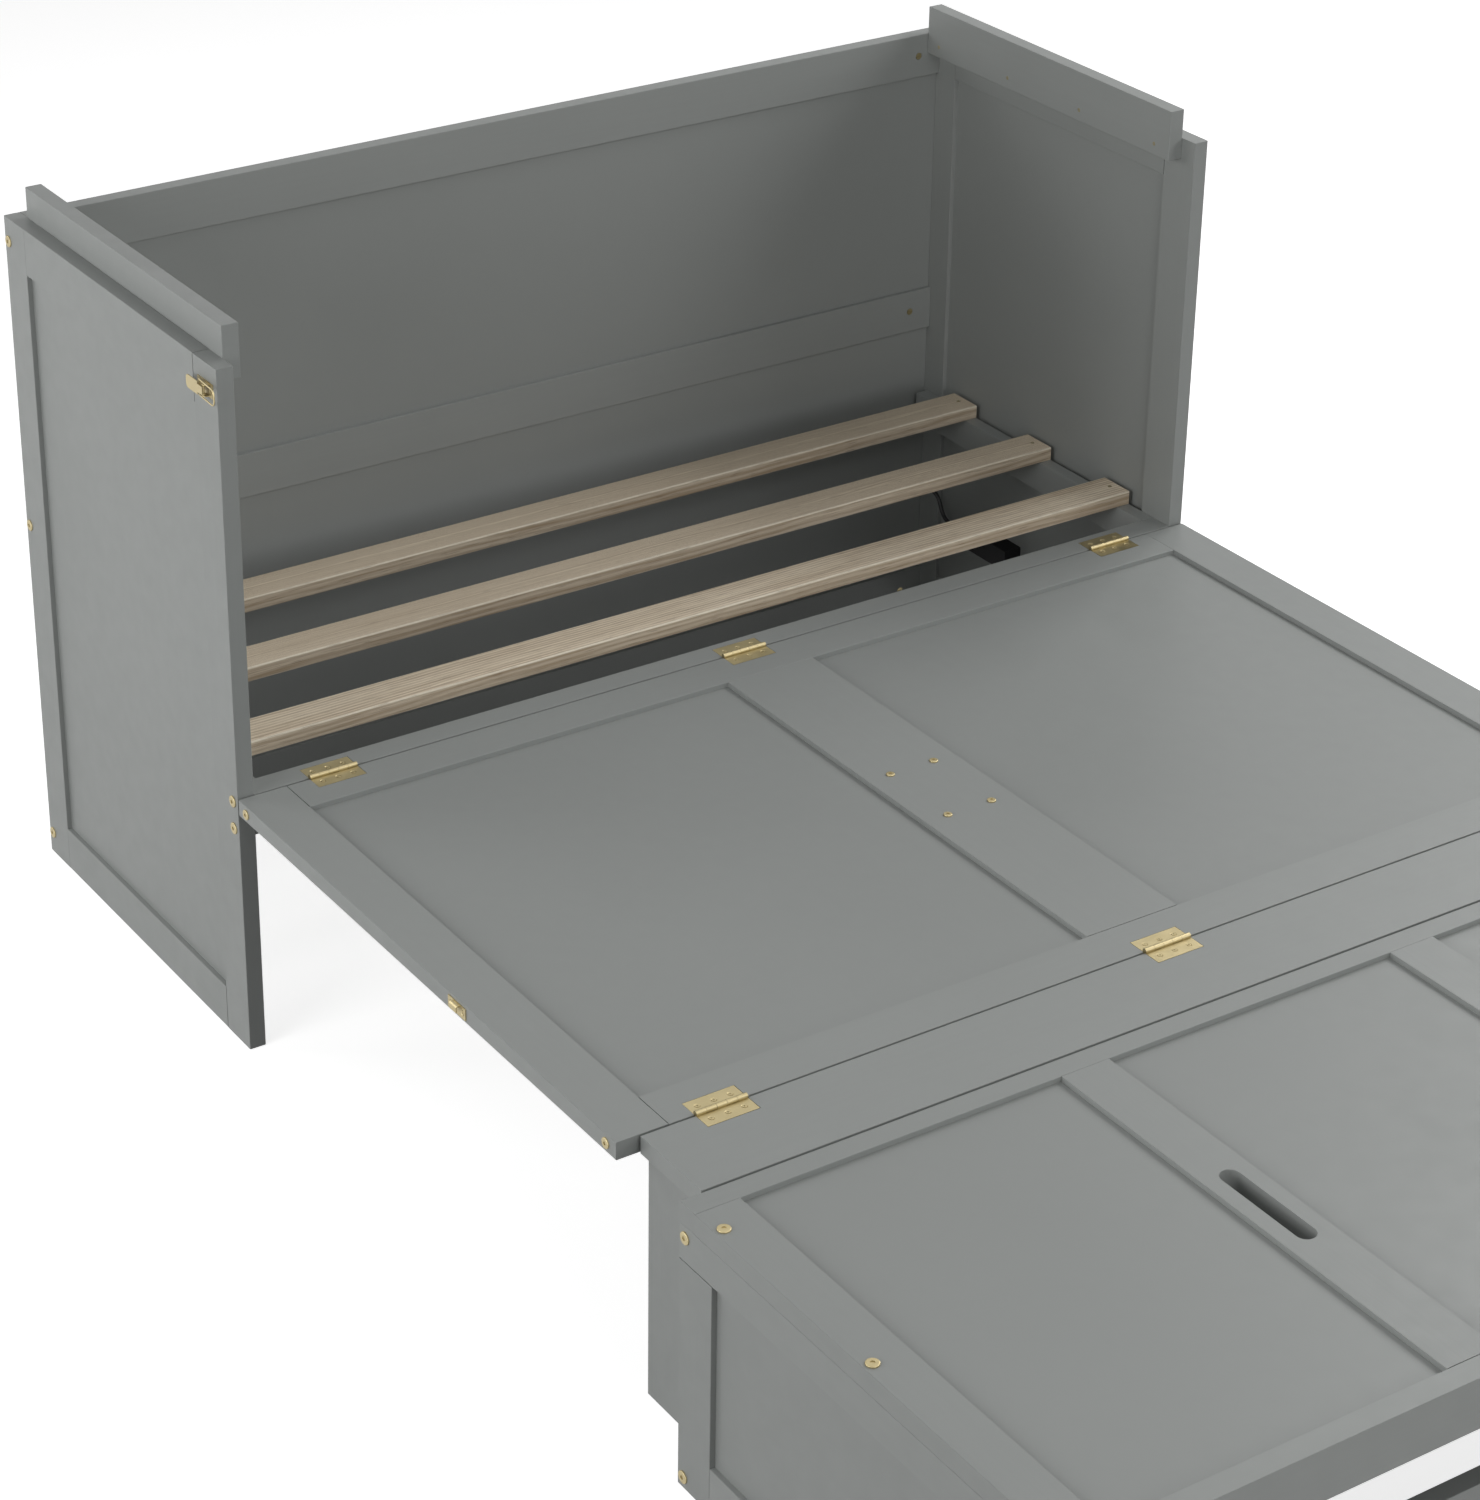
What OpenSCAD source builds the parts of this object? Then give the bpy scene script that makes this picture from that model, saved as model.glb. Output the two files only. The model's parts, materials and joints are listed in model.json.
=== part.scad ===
// Folding cabinet bed: a wall cabinet, a hinged deck with its foot stand, and a lift-off foot box.
// Millimetres. X runs across the bed, the foot end is towards -Y, Z = 0 is the floor.

/* [Overall] */
// Width over the two side frames
bed_w = 1460; // [1440:5:1700]
// Depth of the cabinet from its front plane to the wall
cabinet_depth = 586; // [560:1:640]
// Height of the cabinet's side frames
side_h = 914; // [880:1:1000]
// Height of the sleeping platform above the floor
deck_h = 356; // [330:1:400]
// Length of the hinged deck
deck_len = 851; // [800:1:900]
// Width of the foot board behind the deck
foot_board_w = 115; // [100:1:140]
// How far the foot box's top reaches past its side frames
box_overhang = 57; // [50:1:80]

/* [Boards] */
// Thickness of the frame boards
board_t = 22; // [19:0.5:25]
// Thickness of the infill panels
panel_t = 9; // [6:0.5:12]
// Depth of a panel's face below the face of its frame
panel_recess = 6.5; // [4:0.5:8]
// Depth that a panel enters the groove of its frame
groove_d = 8; // [5:0.5:10]
// Play left for a panel at the bottom of its groove
groove_play = 0.8; // [0.5:0.1:2]
// Chamfer along the long edges of the boards
ease = 0.8; // [0.3:0.1:1.5]
// Seam between two boards of one frame
seam = 0.1; // [0.05:0.05:0.3]
// Gap between two boards that a hinge joins
hinge_gap = 2.4; // [2:0.2:4]
// Gap between the foot board and the foot box
box_gap = 3; // [2:0.5:6]

/* [Cabinet] */
// Width of the stiles of a side frame
side_stile_w = 60; // [50:1:80]
// Width of the top rail of a side frame
side_top_rail_w = 62; // [50:1:80]
// Width of the bottom rail of a side frame
side_low_rail_w = 60; // [50:1:80]
// Width of the three rails of the back
back_rail_w = 63; // [50:1:80]
// Height of the lower edge of the back's middle rail
back_mid_z = 458; // [440:1:560]
// Depth of the front rail
front_rail_d = 35; // [32:1:45]
// Height of the front rail
front_rail_h = 56; // [50:1:70]
// Height of a locating cleat
cleat_h = 69; // [60:1:80]
// How far a cleat stands above its side frame
cleat_rise = 40; // [30:1:50]
// Distance of a cleat's front end from the cabinet's front plane
cleat_setback = 26; // [24:1:40]
// Height of a slat ledger
ledger_h = 45; // [35:1:60]
// Thickness of a slat ledger
ledger_t = 20; // [18:1:25]

/* [Slats] */
// Width of a slat
slat_w = 56; // [45:1:70]
// Thickness of a slat
slat_t = 20; // [15:1:25]
// Distance from one slat's middle to the next
slat_pitch = 177; // [160:1:185]
// Distance of the front slat's middle from the cabinet's front plane
slat_first = 114; // [90:1:120]
// Clearance between a slat's end and the side frame
slat_play = 1.5; // [1:0.5:4]

/* [Deck] */
// Width of the deck's side stiles
deck_stile_w = 65; // [55:1:80]
// Width of the deck's cross rails
deck_rail_w = 60; // [55:1:80]
// Width of the deck's centre stile
deck_centre_w = 131; // [110:1:150]

/* [Foot stand] */
// How far the foot board's ends stand inside the deck's ends
foot_board_inset = 28; // [24:1:40]
// Distance of a foot leg from the end of the foot board
foot_leg_inset = 24.5; // [20:0.5:60]
// How far a foot leg reaches under the deck
foot_leg_reach = 20; // [10:1:30]
// Height of the cross board between the foot legs
foot_cross_h = 90; // [60:1:150]

/* [Foot box] */
// Thickness of the foot box's top frame
box_top_t = 25; // [22:1:32]
// Width of the top frame's back rail
box_top_rail_w = 28; // [24:1:50]
// Thickness of the foot rail, which stands on edge
foot_rail_t = 27; // [22:1:32]
// Width of the outer stiles of the foot box's top
box_stile_w = 55; // [45:1:70]
// Width of the two inner stiles of the foot box's top
box_inner_w = 65; // [50:1:80]
// Distance of the two inner stiles from the middle
box_inner_x = 233; // [200:1:260]
// Height of the foot rail
foot_rail_h = 64; // [50:1:80]
// Width of the top rail of the foot box's side
box_side_rail_w = 44; // [40:1:60]
// Width of the bottom rail of the foot box's side
box_low_rail_w = 58; // [50:1:70]
// Height of the rails of the foot box's back
box_back_rail_w = 28; // [24:1:60]
// Height of the cross board between the foot box's sides
box_cross_h = 155; // [120:1:200]
// Distance of the cross board's bolts from its upper and lower edge
box_cross_inset = 30; // [20:1:50]
// Length of a hand slot
slot_len = 138; // [110:1:160]
// Width of a hand slot
slot_w = 24; // [20:1:32]

/* [Hinges] */
// Length of a butt hinge
hinge_len = 65; // [50:1:80]
// Width of one hinge leaf from the pin's middle
leaf_w = 25; // [20:0.5:30]
// Thickness of a hinge leaf
leaf_t = 1.8; // [1.5:0.1:2]
// Number of knuckles on a hinge
knuckles = 5; // [3:2:7]
// Diameter of the hinge pin
pin_d = 3; // [2.5:0.1:4]
// Radial clearance of a pin in its knuckle
pin_play = 0.06; // [0.03:0.01:0.09]
// Clearance between neighbouring knuckles
knuckle_play = 0.3; // [0.2:0.05:0.5]
// Distance of the outer hinges from the bed's sides
hinge_inset = 129; // [110:1:230]
// Clearance round a hinge leaf in its mortise
mortise_play = 0.5; // [0.3:0.1:1]

/* [Fasteners] */
// Diameter of a connector bolt's head
bolt_head_d = 15; // [12:0.5:18]
// Height of a connector bolt's domed head
bolt_head_h = 2; // [1.5:0.1:3]
// Diameter of a connector bolt's shank
bolt_d = 6; // [5:0.5:8]
// Radial clearance of a bolt in its hole
bolt_play = 0.1; // [0.05:0.01:0.3]
// Distance of a barrel nut from the end of its rail
nut_reach = 37; // [30:1:45]
// Diameter of a barrel nut
nut_d = 10; // [9:0.5:12]
// Diameter of a wood screw's head
screw_head_d = 7; // [6:0.2:8]
// Diameter of a wood screw's shank
screw_d = 3; // [2.5:0.1:4]
// Depth that a wood screw bites into the last board it holds
screw_bite = 14; // [10:1:17]
// Distance of the front rail's lower bolt below the deck's top
front_bolt_low = 46; // [40:1:52]
// Distance of the front rail's upper bolt below the deck's top
front_bolt_high = 9; // [8:0.5:12]
// Distance of the first cleat screw from the cleat's front end
cleat_screw_first = 31.5; // [25:0.5:40]
// Distance of the last cleat screw from the cleat's back end
cleat_screw_last = 26.5; // [20:0.5:35]
// Distance of the first bolt in the foot box's top from its back edge
box_bolt_first = 64.5; // [50:0.5:80]
// Distance of the last bolt in the foot box's top from the end of its side
box_bolt_last = 13.5; // [10:0.5:20]
// Distance of the deck's edge bolts from its ends
deck_bolt_inset = 19.5; // [15:0.5:25]

/* [Latch] */
// Distance of the latch's middle below the top of the side frame
latch_drop = 31; // [25:1:60]
// Distance of the lever's pin from the cabinet's front plane
latch_pin_y = 21; // [18:0.5:30]
// Distance of the lever's pin from the side's face
latch_pin_out = 6.5; // [6:0.1:8]
// Distance from the lever's pin to the bail's pin
latch_throw = 10; // [9:0.5:12]
// Length of the lever behind its pin
lever_len = 38; // [30:1:50]
// Distance of the base's front end from the cabinet's front plane
latch_base_y = 9; // [7:0.5:10]
// Length of the base
latch_base_len = 38; // [37:0.5:44]
// Distance of the latch's screws from the ends of its base
latch_screw_inset = 4; // [3.8:0.1:5]
// Length of the bail from its pin to its front bar
bail_len = 41; // [40:0.5:46]
// Angle at which the loose bail stands off the face
bail_tilt = 3; // [0:1:14]
// Diameter of the bail's wire
wire_d = 2; // [1.6:0.1:2.4]

/* [Centre leg] */
// Side of the square centre leg
leg_side = 44; // [36:1:50]
// Thickness of the leg bracket's steel
bracket_t = 3; // [2:0.5:4]
// Diameter of the leg's pivot pin
leg_pin_d = 8; // [6:0.5:10]
// Distance across the bed between the bracket bolts
bracket_bolt_x = 65; // [60:1:90]
// Distance along the bed between the bracket bolts
bracket_bolt_y = 117; // [90:1:140]

/* [Power] */
// Distance of the socket unit's middle from the cabinet's front plane
socket_y = 384; // [300:1:430]
// Height of the socket unit's middle above the floor
socket_z = 171; // [140:1:240]
// Length of the socket unit's body
socket_len = 105; // [90:1:120]
// Height of the socket unit's body
socket_h = 32; // [30:1:45]
// How far the socket unit reaches in past the side frame's inner face
socket_in = 22; // [18:1:30]
// Width of the rim round the socket unit
socket_lip = 5; // [4:0.5:8]
// Diameter of the power cord
cord_d = 6; // [5:0.5:7]
// Distance of the grommet from the right side's outer face
grommet_in = 40; // [36:1:80]
// Height of the grommet above the floor
grommet_z = 207; // [150:1:300]
// Hole for the grommet in the back's lower panel
grommet_hole_d = 16; // [14:1:24]
// Outer radius of the stored coil, to the middle of the cord
coil_out_r = 44; // [42:1:50]
// Turns in the stored coil
coil_turns = 6; // [4:2:8]

/* [Hidden] */
$fn = 48;

paint = [0.573, 0.584, 0.576];
pale_wood = [0.72, 0.63, 0.50];
brass = [0.80, 0.71, 0.47];
steel = [0.35, 0.36, 0.36];
black = [0.05, 0.05, 0.05];

// The cord leaves the socket unit and climbs to the grommet: x from the right side's outer face, y from
// the socket unit's end, z from the floor
cord_inside = [
    [-33, 24.1, 172], [-33, 36.1, 172], [-32, 48.1, 171.5], [-31, 58.7, 173.4], [-30, 67.4, 179.8],
    [-30, 72.8, 189.2], [-30, 78.3, 198.5], [-31, 87, 204.8], [-33, 97.6, 207], [-36, 110.1, 207]
];
// It passes the grommet and hangs behind the cabinet to the floor: x from the right side, y from the wall
cord_behind = [
    [-38, -27.4, 207], [-40, -15.4, 207], [-40, -3.4, 207], [-40, 8.6, 205], [-41, 18.6, 198],
    [-42, 24.6, 187], [-43, 26.6, 174], [-44, 26.6, 160], [-44, 25.6, 146], [-44, 24.6, 132],
    [-44, 23.6, 118], [-44, 22.6, 104], [-44, 21.6, 90], [-44, 19.6, 76], [-44, 17.6, 62],
    [-44, 16.6, 49], [-45, 15.6, 37], [-48, 14.6, 25], [-54, 13.6, 15], [-63, 13.6, 7],
    [-75, 13.6, 3], [-88, 13.6, 3], [-101, 13.6, 3], [-114, 13.6, 3], [-127, 13.6, 3],
    [-141, 13.6, 3], [-154, 13.6, 3], [-168, 13.6, 3]
];

// Main planes along the bed, from the wall to the foot
box_len = cabinet_depth + box_overhang;
total_len = cabinet_depth + 2 * hinge_gap + deck_len + foot_board_w + box_gap + box_len;
wall_y = total_len / 2;
front_y = wall_y - cabinet_depth;
deck_back_y = front_y - hinge_gap;
deck_foot_y = deck_back_y - deck_len;
board_back_y = deck_foot_y - hinge_gap;
board_foot_y = board_back_y - foot_board_w;
box_back_y = board_foot_y - box_gap;
box_foot_y = box_back_y - box_len;
box_side_foot_y = box_back_y - cabinet_depth;
half_w = bed_w / 2;
inner_x = half_w - board_t;
deck_low_z = deck_h - board_t;
deck_mid_y = (deck_back_y + deck_foot_y) / 2;

// Butt hinge: the leaf's upper face is level with the boards, the pin's middle a little above
bore_r = pin_d / 2 + pin_play;
knuckle_r = bore_r + leaf_t;
pin_z = deck_h + bore_r;
knuckle_len = hinge_len / knuckles;
cabinet_pin_y = front_y - hinge_gap / 2;
foot_pin_y = deck_foot_y - hinge_gap / 2;
leaf_screw_y = leaf_w * 0.54;
leaf_screw_x = hinge_len * 0.32;
hinge_x = half_w - hinge_inset;
hinge_places = [-hinge_x, 0, hinge_x];
cut = 0.5;

// Fastener rows
back_bolt_zs = [back_rail_w / 2, back_mid_z + back_rail_w / 2, side_h - back_rail_w / 2];
back_bolt_y = wall_y - board_t / 2;
front_bolt_y = front_y + 12.6;
front_bolt_zs = [deck_h - front_bolt_low, deck_h - front_bolt_high];
cleat_screw_y = front_y + cleat_setback + cleat_screw_first;
cleat_screw_step = (wall_y - board_t - cleat_screw_last - cleat_screw_y) / 3;
cleat_screw_ys = [for (i = [0:3]) cleat_screw_y + i * cleat_screw_step];
cleat_screw_z = side_h - 13.5;
slat_mids = [for (i = [0:2]) front_y + slat_first + i * slat_pitch];
slat_screw_x = inner_x - 14;
deck_bolt_ys = [deck_back_y - deck_bolt_inset, deck_foot_y + deck_bolt_inset];
box_top_z = deck_h;
box_side_h = deck_h - box_top_t;
box_bolt_step = (cabinet_depth - box_bolt_first - box_bolt_last) / 2;
box_bolt_ys = [for (i = [0:2]) box_back_y - box_bolt_first - i * box_bolt_step];
box_back_bolt_zs = [box_back_rail_w / 2, box_side_h - box_back_rail_w / 2];
box_cross_bolt_zs = [box_cross_inset, box_cross_h - box_cross_inset];
latch_z = side_h - latch_drop;
catch_y = cabinet_pin_y - (latch_z - pin_z);
long_bolt = board_t + nut_reach + nut_d / 2;

// Power cord's route and the grommet that it passes
socket_end_y = front_y + socket_y + socket_len / 2;
cord_route = concat([for (p = cord_inside) p + [half_w, socket_end_y, 0]],
    [for (p = cord_behind) p + [half_w, wall_y, 0]]);
grommet_at = [half_w - grommet_in, grommet_z];

// Frame and panel work, drawn flat with its thickness upwards

// Section of a board with its four long edges eased
module eased(w, t) {
    polygon([[ease, 0], [w - ease, 0], [w, ease], [w, t - ease], [w - ease, t], [ease, t],
        [0, t - ease], [0, ease]]);
}

// A board from corner a to corner b, with its grain along x or along y
module board_x(a, b, t) {
    translate([a.x, a.y, 0]) rotate([90, 0, 90]) linear_extrude(b.x - a.x) eased(b.y - a.y, t);
}
module board_y(a, b, t) {
    translate([a.x, b.y, 0]) rotate([90, 0, 0]) linear_extrude(b.y - a.y) eased(b.x - a.x, t);
}

// The space that a panel and its groove fill round one opening of a frame
module panel_space(opening, t, edge) {
    a = opening[0] - [edge, edge];
    b = opening[1] + [edge, edge];
    translate([a.x, a.y, t - panel_recess - panel_t]) cube([b.x - a.x, b.y - a.y, panel_t]);
}
module panel(opening, t) {
    panel_space(opening, t, groove_d);
}
module grooved(openings, t) {
    difference() {
        children();
        for (opening = openings) panel_space(opening, t, groove_d + groove_play);
    }
}

// Turn flat work upright: side() faces along x, back() faces along y
module side(x, y) {
    translate([x, y, 0]) rotate([90, 0, 90]) children();
}
module back(y) {
    translate([0, y, 0]) rotate([90, 0, 0]) children();
}

// Fasteners, drawn with the head upwards at z = 0 and the shank down

module bolt(len, head_d = bolt_head_d) {
    socket_d = head_d * 0.32;
    difference() {
        union() {
            dome(head_d / 2, bolt_head_h);
            translate([0, 0, -len]) cylinder(d = bolt_d, h = len + cut);
        }
        translate([0, 0, bolt_head_h * 0.35]) cylinder(d = socket_d, h = bolt_head_h, $fn = 6);
    }
}
// A shallow dome on a thin rim
module dome(r, h) {
    rim = h * 0.3;
    rise = h - rim;
    ball_r = (r * r + rise * rise) / (2 * rise);
    rotate_extrude() intersection() {
        translate([0, h - ball_r]) circle(ball_r, $fn = 180);
        square([r, h]);
    }
}
module bolt_hole(len) {
    translate([0, 0, -len]) cylinder(d = bolt_d + 2 * bolt_play, h = len + cut);
}
// Countersunk wood screw that passes through a thickness and bites into the board behind
module wood_screw(through) {
    len = through + screw_bite;
    head_h = (screw_head_d - screw_d) * 0.4;
    translate([0, 0, -head_h]) cylinder(d1 = screw_d, d2 = screw_head_d, h = head_h);
    translate([0, 0, -len]) cylinder(d = screw_d, h = len - head_h + 0.01);
}
module screw_seat(t) {
    head_h = (screw_head_d - screw_d) * 0.4;
    translate([0, 0, -head_h]) cylinder(d1 = screw_d + 0.3, d2 = screw_head_d + 0.3, h = head_h + 0.01);
    translate([0, 0, -t - cut]) cylinder(d = screw_d + 0.3, h = t + cut);
}
// Barrel nut in a hole of height h, bored for its bolt at a depth below its slotted end
module barrel_nut(h, depth) {
    translate([0, 0, h]) mirror([0, 0, 1]) difference() {
        cylinder(d = nut_d, h = h);
        translate([-nut_d, -0.8, h - 1]) cube([2 * nut_d, 1.6, 2]);
        translate([0, 0, h - depth]) rotate([0, 90, 0])
            cylinder(d = bolt_d + 2 * bolt_play, h = 2 * nut_d, center = true);
    }
}

// Butt hinges

// Slice number i of the knuckle row, along x
module knuckle_slice(i, r, extra) {
    translate([-hinge_len / 2 + i * knuckle_len + knuckle_play / 2 - extra, 0, 0]) rotate([0, 90, 0])
        cylinder(r = r, h = knuckle_len - knuckle_play + 2 * extra);
}
// One leaf with the knuckles first, first + 2 and so on, its pin along x through the origin
module hinge_leaf(first) {
    difference() {
        union() {
            translate([-hinge_len / 2, 0, -knuckle_r]) cube([hinge_len, leaf_w, leaf_t]);
            for (i = [first:2:knuckles - 1]) knuckle_slice(i, knuckle_r, 0);
        }
        for (i = [1 - first:2:knuckles - 1]) knuckle_slice(i, knuckle_r + knuckle_play, knuckle_play);
        for (i = [first:2:knuckles - 1]) knuckle_slice(i, bore_r, knuckle_play);
        for (i = [-1:1]) translate([i * leaf_screw_x, leaf_screw_y, -bore_r]) screw_seat(leaf_t);
    }
}
module hinge_pin() {
    rotate([0, 90, 0]) cylinder(d = pin_d, h = hinge_len, center = true);
}
module leaf_screws() {
    for (i = [-1:1]) translate([i * leaf_screw_x, leaf_screw_y, -bore_r]) wood_screw(leaf_t);
}
// What a board loses to a leaf: its mortise and the room that the knuckles turn in
module mortise() {
    w = hinge_len + 2 * mortise_play;
    translate([-w / 2, -hinge_gap, -knuckle_r]) cube([w, hinge_gap + leaf_w + mortise_play, leaf_t + cut]);
    translate([-w / 2, -hinge_gap, -knuckle_r - mortise_play])
        cube([w, hinge_gap + knuckle_r, leaf_t + mortise_play + cut]);
}
module at_hinges(y) {
    for (x = hinge_places) translate([x, y, pin_z]) children();
}
module towards_foot() {
    rotate([0, 0, 180]) children();
}

// Cabinet sides

side_opening = [[side_stile_w, side_low_rail_w],
    [cabinet_depth - side_stile_w, side_h - side_top_rail_w]];
module side_frame_flat() {
    near = side_stile_w + seam;
    far = cabinet_depth - side_stile_w - seam;
    grooved([side_opening], board_t) {
        board_y([0, 0], [side_stile_w, side_h], board_t);
        board_y([cabinet_depth - side_stile_w, 0], [cabinet_depth, side_h], board_t);
        board_x([near, 0], [far, side_low_rail_w], board_t);
        board_x([near, side_h - side_top_rail_w], [far, side_h], board_t);
    }
}
// Bolt axes through the right side, pointing inwards
module side_bolts() {
    for (z = back_bolt_zs) translate([half_w, back_bolt_y, z]) rotate([0, 90, 0]) children();
    for (z = front_bolt_zs) translate([half_w, front_bolt_y, z]) rotate([0, 90, 0]) children();
}
module right_side_frame() {
    color(paint) difference() {
        side(inner_x, front_y) side_frame_flat();
        side_bolts() bolt_hole(long_bolt);
    }
}
module left_side_frame() {
    mirror([1, 0, 0]) right_side_frame();
}
module right_side_panel() {
    color(paint) difference() {
        side(inner_x, front_y) panel(side_opening, board_t);
        socket_block(inner_x, half_w, socket_play);
    }
}
module left_side_panel() {
    color(paint) mirror([1, 0, 0]) side(inner_x, front_y) panel(side_opening, board_t);
}

// Cabinet back

back_openings = [[[-inner_x, back_rail_w], [inner_x, back_mid_z]],
    [[-inner_x, back_mid_z + back_rail_w], [inner_x, side_h - back_rail_w]]];
module both_sides() {
    children();
    mirror([1, 0, 0]) children();
}
// Axes of the barrel nuts that hold the back rails
module back_nut_holes() {
    both_sides() for (z = back_bolt_zs) translate([inner_x - nut_reach, wall_y - board_t, z])
        rotate([-90, 0, 0]) children();
}
module front_nut_holes() {
    both_sides() for (z = front_bolt_zs) translate([inner_x - nut_reach, front_y + front_rail_d, z])
        rotate([90, 0, 0]) children();
}
back_nut_h = board_t * 0.8;
front_nut_h = front_y + front_rail_d - front_bolt_y + nut_d * 0.6;
module back_rails() {
    color(paint) difference() {
        back(wall_y) for (z = [0, back_mid_z, side_h - back_rail_w]) difference() {
            board_x([-inner_x, z], [inner_x, z + back_rail_w], board_t);
            for (opening = back_openings) translate([0, 0, 0])
                back_groove(opening);
        }
        both_sides() side_bolts() bolt_hole(long_bolt);
        back_nut_holes() translate([0, 0, -cut]) cylinder(d = nut_d + 2 * bolt_play, h = back_nut_h + cut);
    }
}
// The back's panels stop at the side frames, so their grooves run only along the rails
module back_groove(opening) {
    tall = groove_d + groove_play;
    translate([opening[0].x - cut, opening[0].y - tall, panel_recess])
        cube([opening[1].x - opening[0].x + 2 * cut, opening[1].y - opening[0].y + 2 * tall, panel_t]);
}
module back_panels() {
    color(paint) back(wall_y) difference() {
        for (opening = back_openings)
            translate([opening[0].x, opening[0].y - groove_d, panel_recess])
                cube([opening[1].x - opening[0].x, opening[1].y - opening[0].y + 2 * groove_d, panel_t]);
        translate([grommet_at[0], grommet_at[1], 0]) cylinder(d = grommet_hole_d, h = board_t);
    }
}

// Cabinet front rail, cleats, ledgers and slats

module front_rail() {
    color(paint) difference() {
        translate([-inner_x, front_y, deck_h - front_rail_h]) rotate([90, 0, 90])
            linear_extrude(2 * inner_x) eased(front_rail_d, front_rail_h);
        at_hinges(cabinet_pin_y) mortise();
        both_sides() side_bolts() bolt_hole(long_bolt);
        front_nut_holes() translate([0, 0, -cut]) cylinder(d = nut_d + 2 * bolt_play, h = front_nut_h + cut);
    }
}
module right_cleat() {
    color(paint) side(inner_x - board_t, front_y)
        board_x([cleat_setback, side_h + cleat_rise - cleat_h],
            [cabinet_depth - board_t, side_h + cleat_rise], board_t);
}
module left_cleat() {
    mirror([1, 0, 0]) right_cleat();
}
module right_ledger() {
    color(paint) side(inner_x - ledger_t, front_y)
        board_x([front_rail_d, deck_h - ledger_h], [cabinet_depth - board_t, deck_h], ledger_t);
}
module left_ledger() {
    mirror([1, 0, 0]) right_ledger();
}
module slat(y) {
    end_x = inner_x - slat_play;
    color(pale_wood) translate([0, 0, deck_h])
        board_x([-end_x, y - slat_w / 2], [end_x, y + slat_w / 2], slat_t);
}
module slat_front() { slat(slat_mids[0]); }
module slat_middle() { slat(slat_mids[1]); }
module slat_back() { slat(slat_mids[2]); }

// Cabinet fasteners

module cabinet_bolts() {
    color(brass) both_sides() side_bolts() bolt(long_bolt);
}
module barrel_nuts() {
    color(brass) {
        back_nut_holes() barrel_nut(back_nut_h, board_t - (wall_y - back_bolt_y));
        front_nut_holes() barrel_nut(front_nut_h, front_y + front_rail_d - front_bolt_y);
    }
}
module cleat_screws() {
    color(brass) both_sides() for (y = cleat_screw_ys)
        translate([inner_x - board_t, y, cleat_screw_z]) rotate([0, -90, 0]) wood_screw(board_t);
}
module slat_screws() {
    color(brass) both_sides() for (y = slat_mids)
        translate([slat_screw_x, y, deck_h + slat_t]) wood_screw(slat_t);
}
module cabinet_hinge_leaves() {
    color(brass) at_hinges(cabinet_pin_y) hinge_leaf(0);
}
module cabinet_hinge_pins() {
    color(brass) at_hinges(cabinet_pin_y) hinge_pin();
}
module cabinet_screws() {
    color(brass) {
        at_hinges(cabinet_pin_y) leaf_screws();
        latch_screws();
    }
}

// Deck

deck_openings = [for (s = [-1, 1]) let (near = deck_centre_w / 2, far = half_w - deck_stile_w)
    [[s < 0 ? -far : near, deck_foot_y + deck_rail_w], [s < 0 ? -near : far, deck_back_y - deck_rail_w]]];
module deck_height() {
    translate([0, 0, deck_low_z]) children();
}
module deck_edge_bolts() {
    both_sides() for (y = deck_bolt_ys) translate([half_w, y, deck_low_z + board_t / 2])
        rotate([0, 90, 0]) children();
}
deck_bolt_len = deck_stile_w + nut_reach;
module deck_stiles() {
    color(paint) difference() {
        deck_height() grooved(deck_openings, board_t) both_sides()
            board_y([half_w - deck_stile_w, deck_foot_y], [half_w, deck_back_y], board_t);
        deck_edge_bolts() bolt_hole(deck_bolt_len);
    }
}
module deck_rails() {
    rail_x = half_w - deck_stile_w;
    color(paint) difference() {
        deck_height() grooved(deck_openings, board_t) {
            board_x([-rail_x, deck_back_y - deck_rail_w], [rail_x, deck_back_y], board_t);
            board_x([-rail_x, deck_foot_y], [rail_x, deck_foot_y + deck_rail_w], board_t);
        }
        at_hinges(cabinet_pin_y) towards_foot() mortise();
        at_hinges(foot_pin_y) mortise();
        deck_edge_bolts() bolt_hole(deck_bolt_len);
    }
}
module bracket_bolts() {
    for (x = [-1, 1], y = [-1, 1])
        translate([x * bracket_bolt_x / 2, deck_mid_y + y * bracket_bolt_y / 2, deck_h])
        children();
}
module deck_centre_stile() {
    w = deck_centre_w / 2;
    color(paint) difference() {
        deck_height() grooved(deck_openings, board_t)
            board_y([-w, deck_foot_y + deck_rail_w], [w, deck_back_y - deck_rail_w], board_t);
        bracket_bolts() bolt_hole(board_t + cut);
    }
}
module deck_panels() {
    color(paint) deck_height() for (opening = deck_openings) panel(opening, board_t);
}
module deck_hinge_leaves() {
    color(brass) {
        at_hinges(cabinet_pin_y) towards_foot() hinge_leaf(1);
        at_hinges(foot_pin_y) hinge_leaf(1);
    }
}
module deck_screws() {
    color(brass) {
        at_hinges(cabinet_pin_y) towards_foot() leaf_screws();
        at_hinges(foot_pin_y) leaf_screws();
        catch_screws();
    }
}
module foot_hinge_pins() {
    color(brass) at_hinges(foot_pin_y) hinge_pin();
}
module deck_bolts() {
    nut_h = 5;
    color(brass) {
        deck_edge_bolts() bolt(deck_bolt_len - 2, 13);
        bracket_bolts() {
            bolt(board_t + bracket_t + nut_h + 2, 11);
            translate([0, 0, -board_t - bracket_t - nut_h]) difference() {
                cylinder(d = 11, h = nut_h, $fn = 6);
                translate([0, 0, -cut]) cylinder(d = bolt_d + 2 * bolt_play, h = nut_h + 2 * cut);
            }
        }
    }
}

// Centre leg: a square post that turns on a pin in a steel bracket under the centre stile

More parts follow.
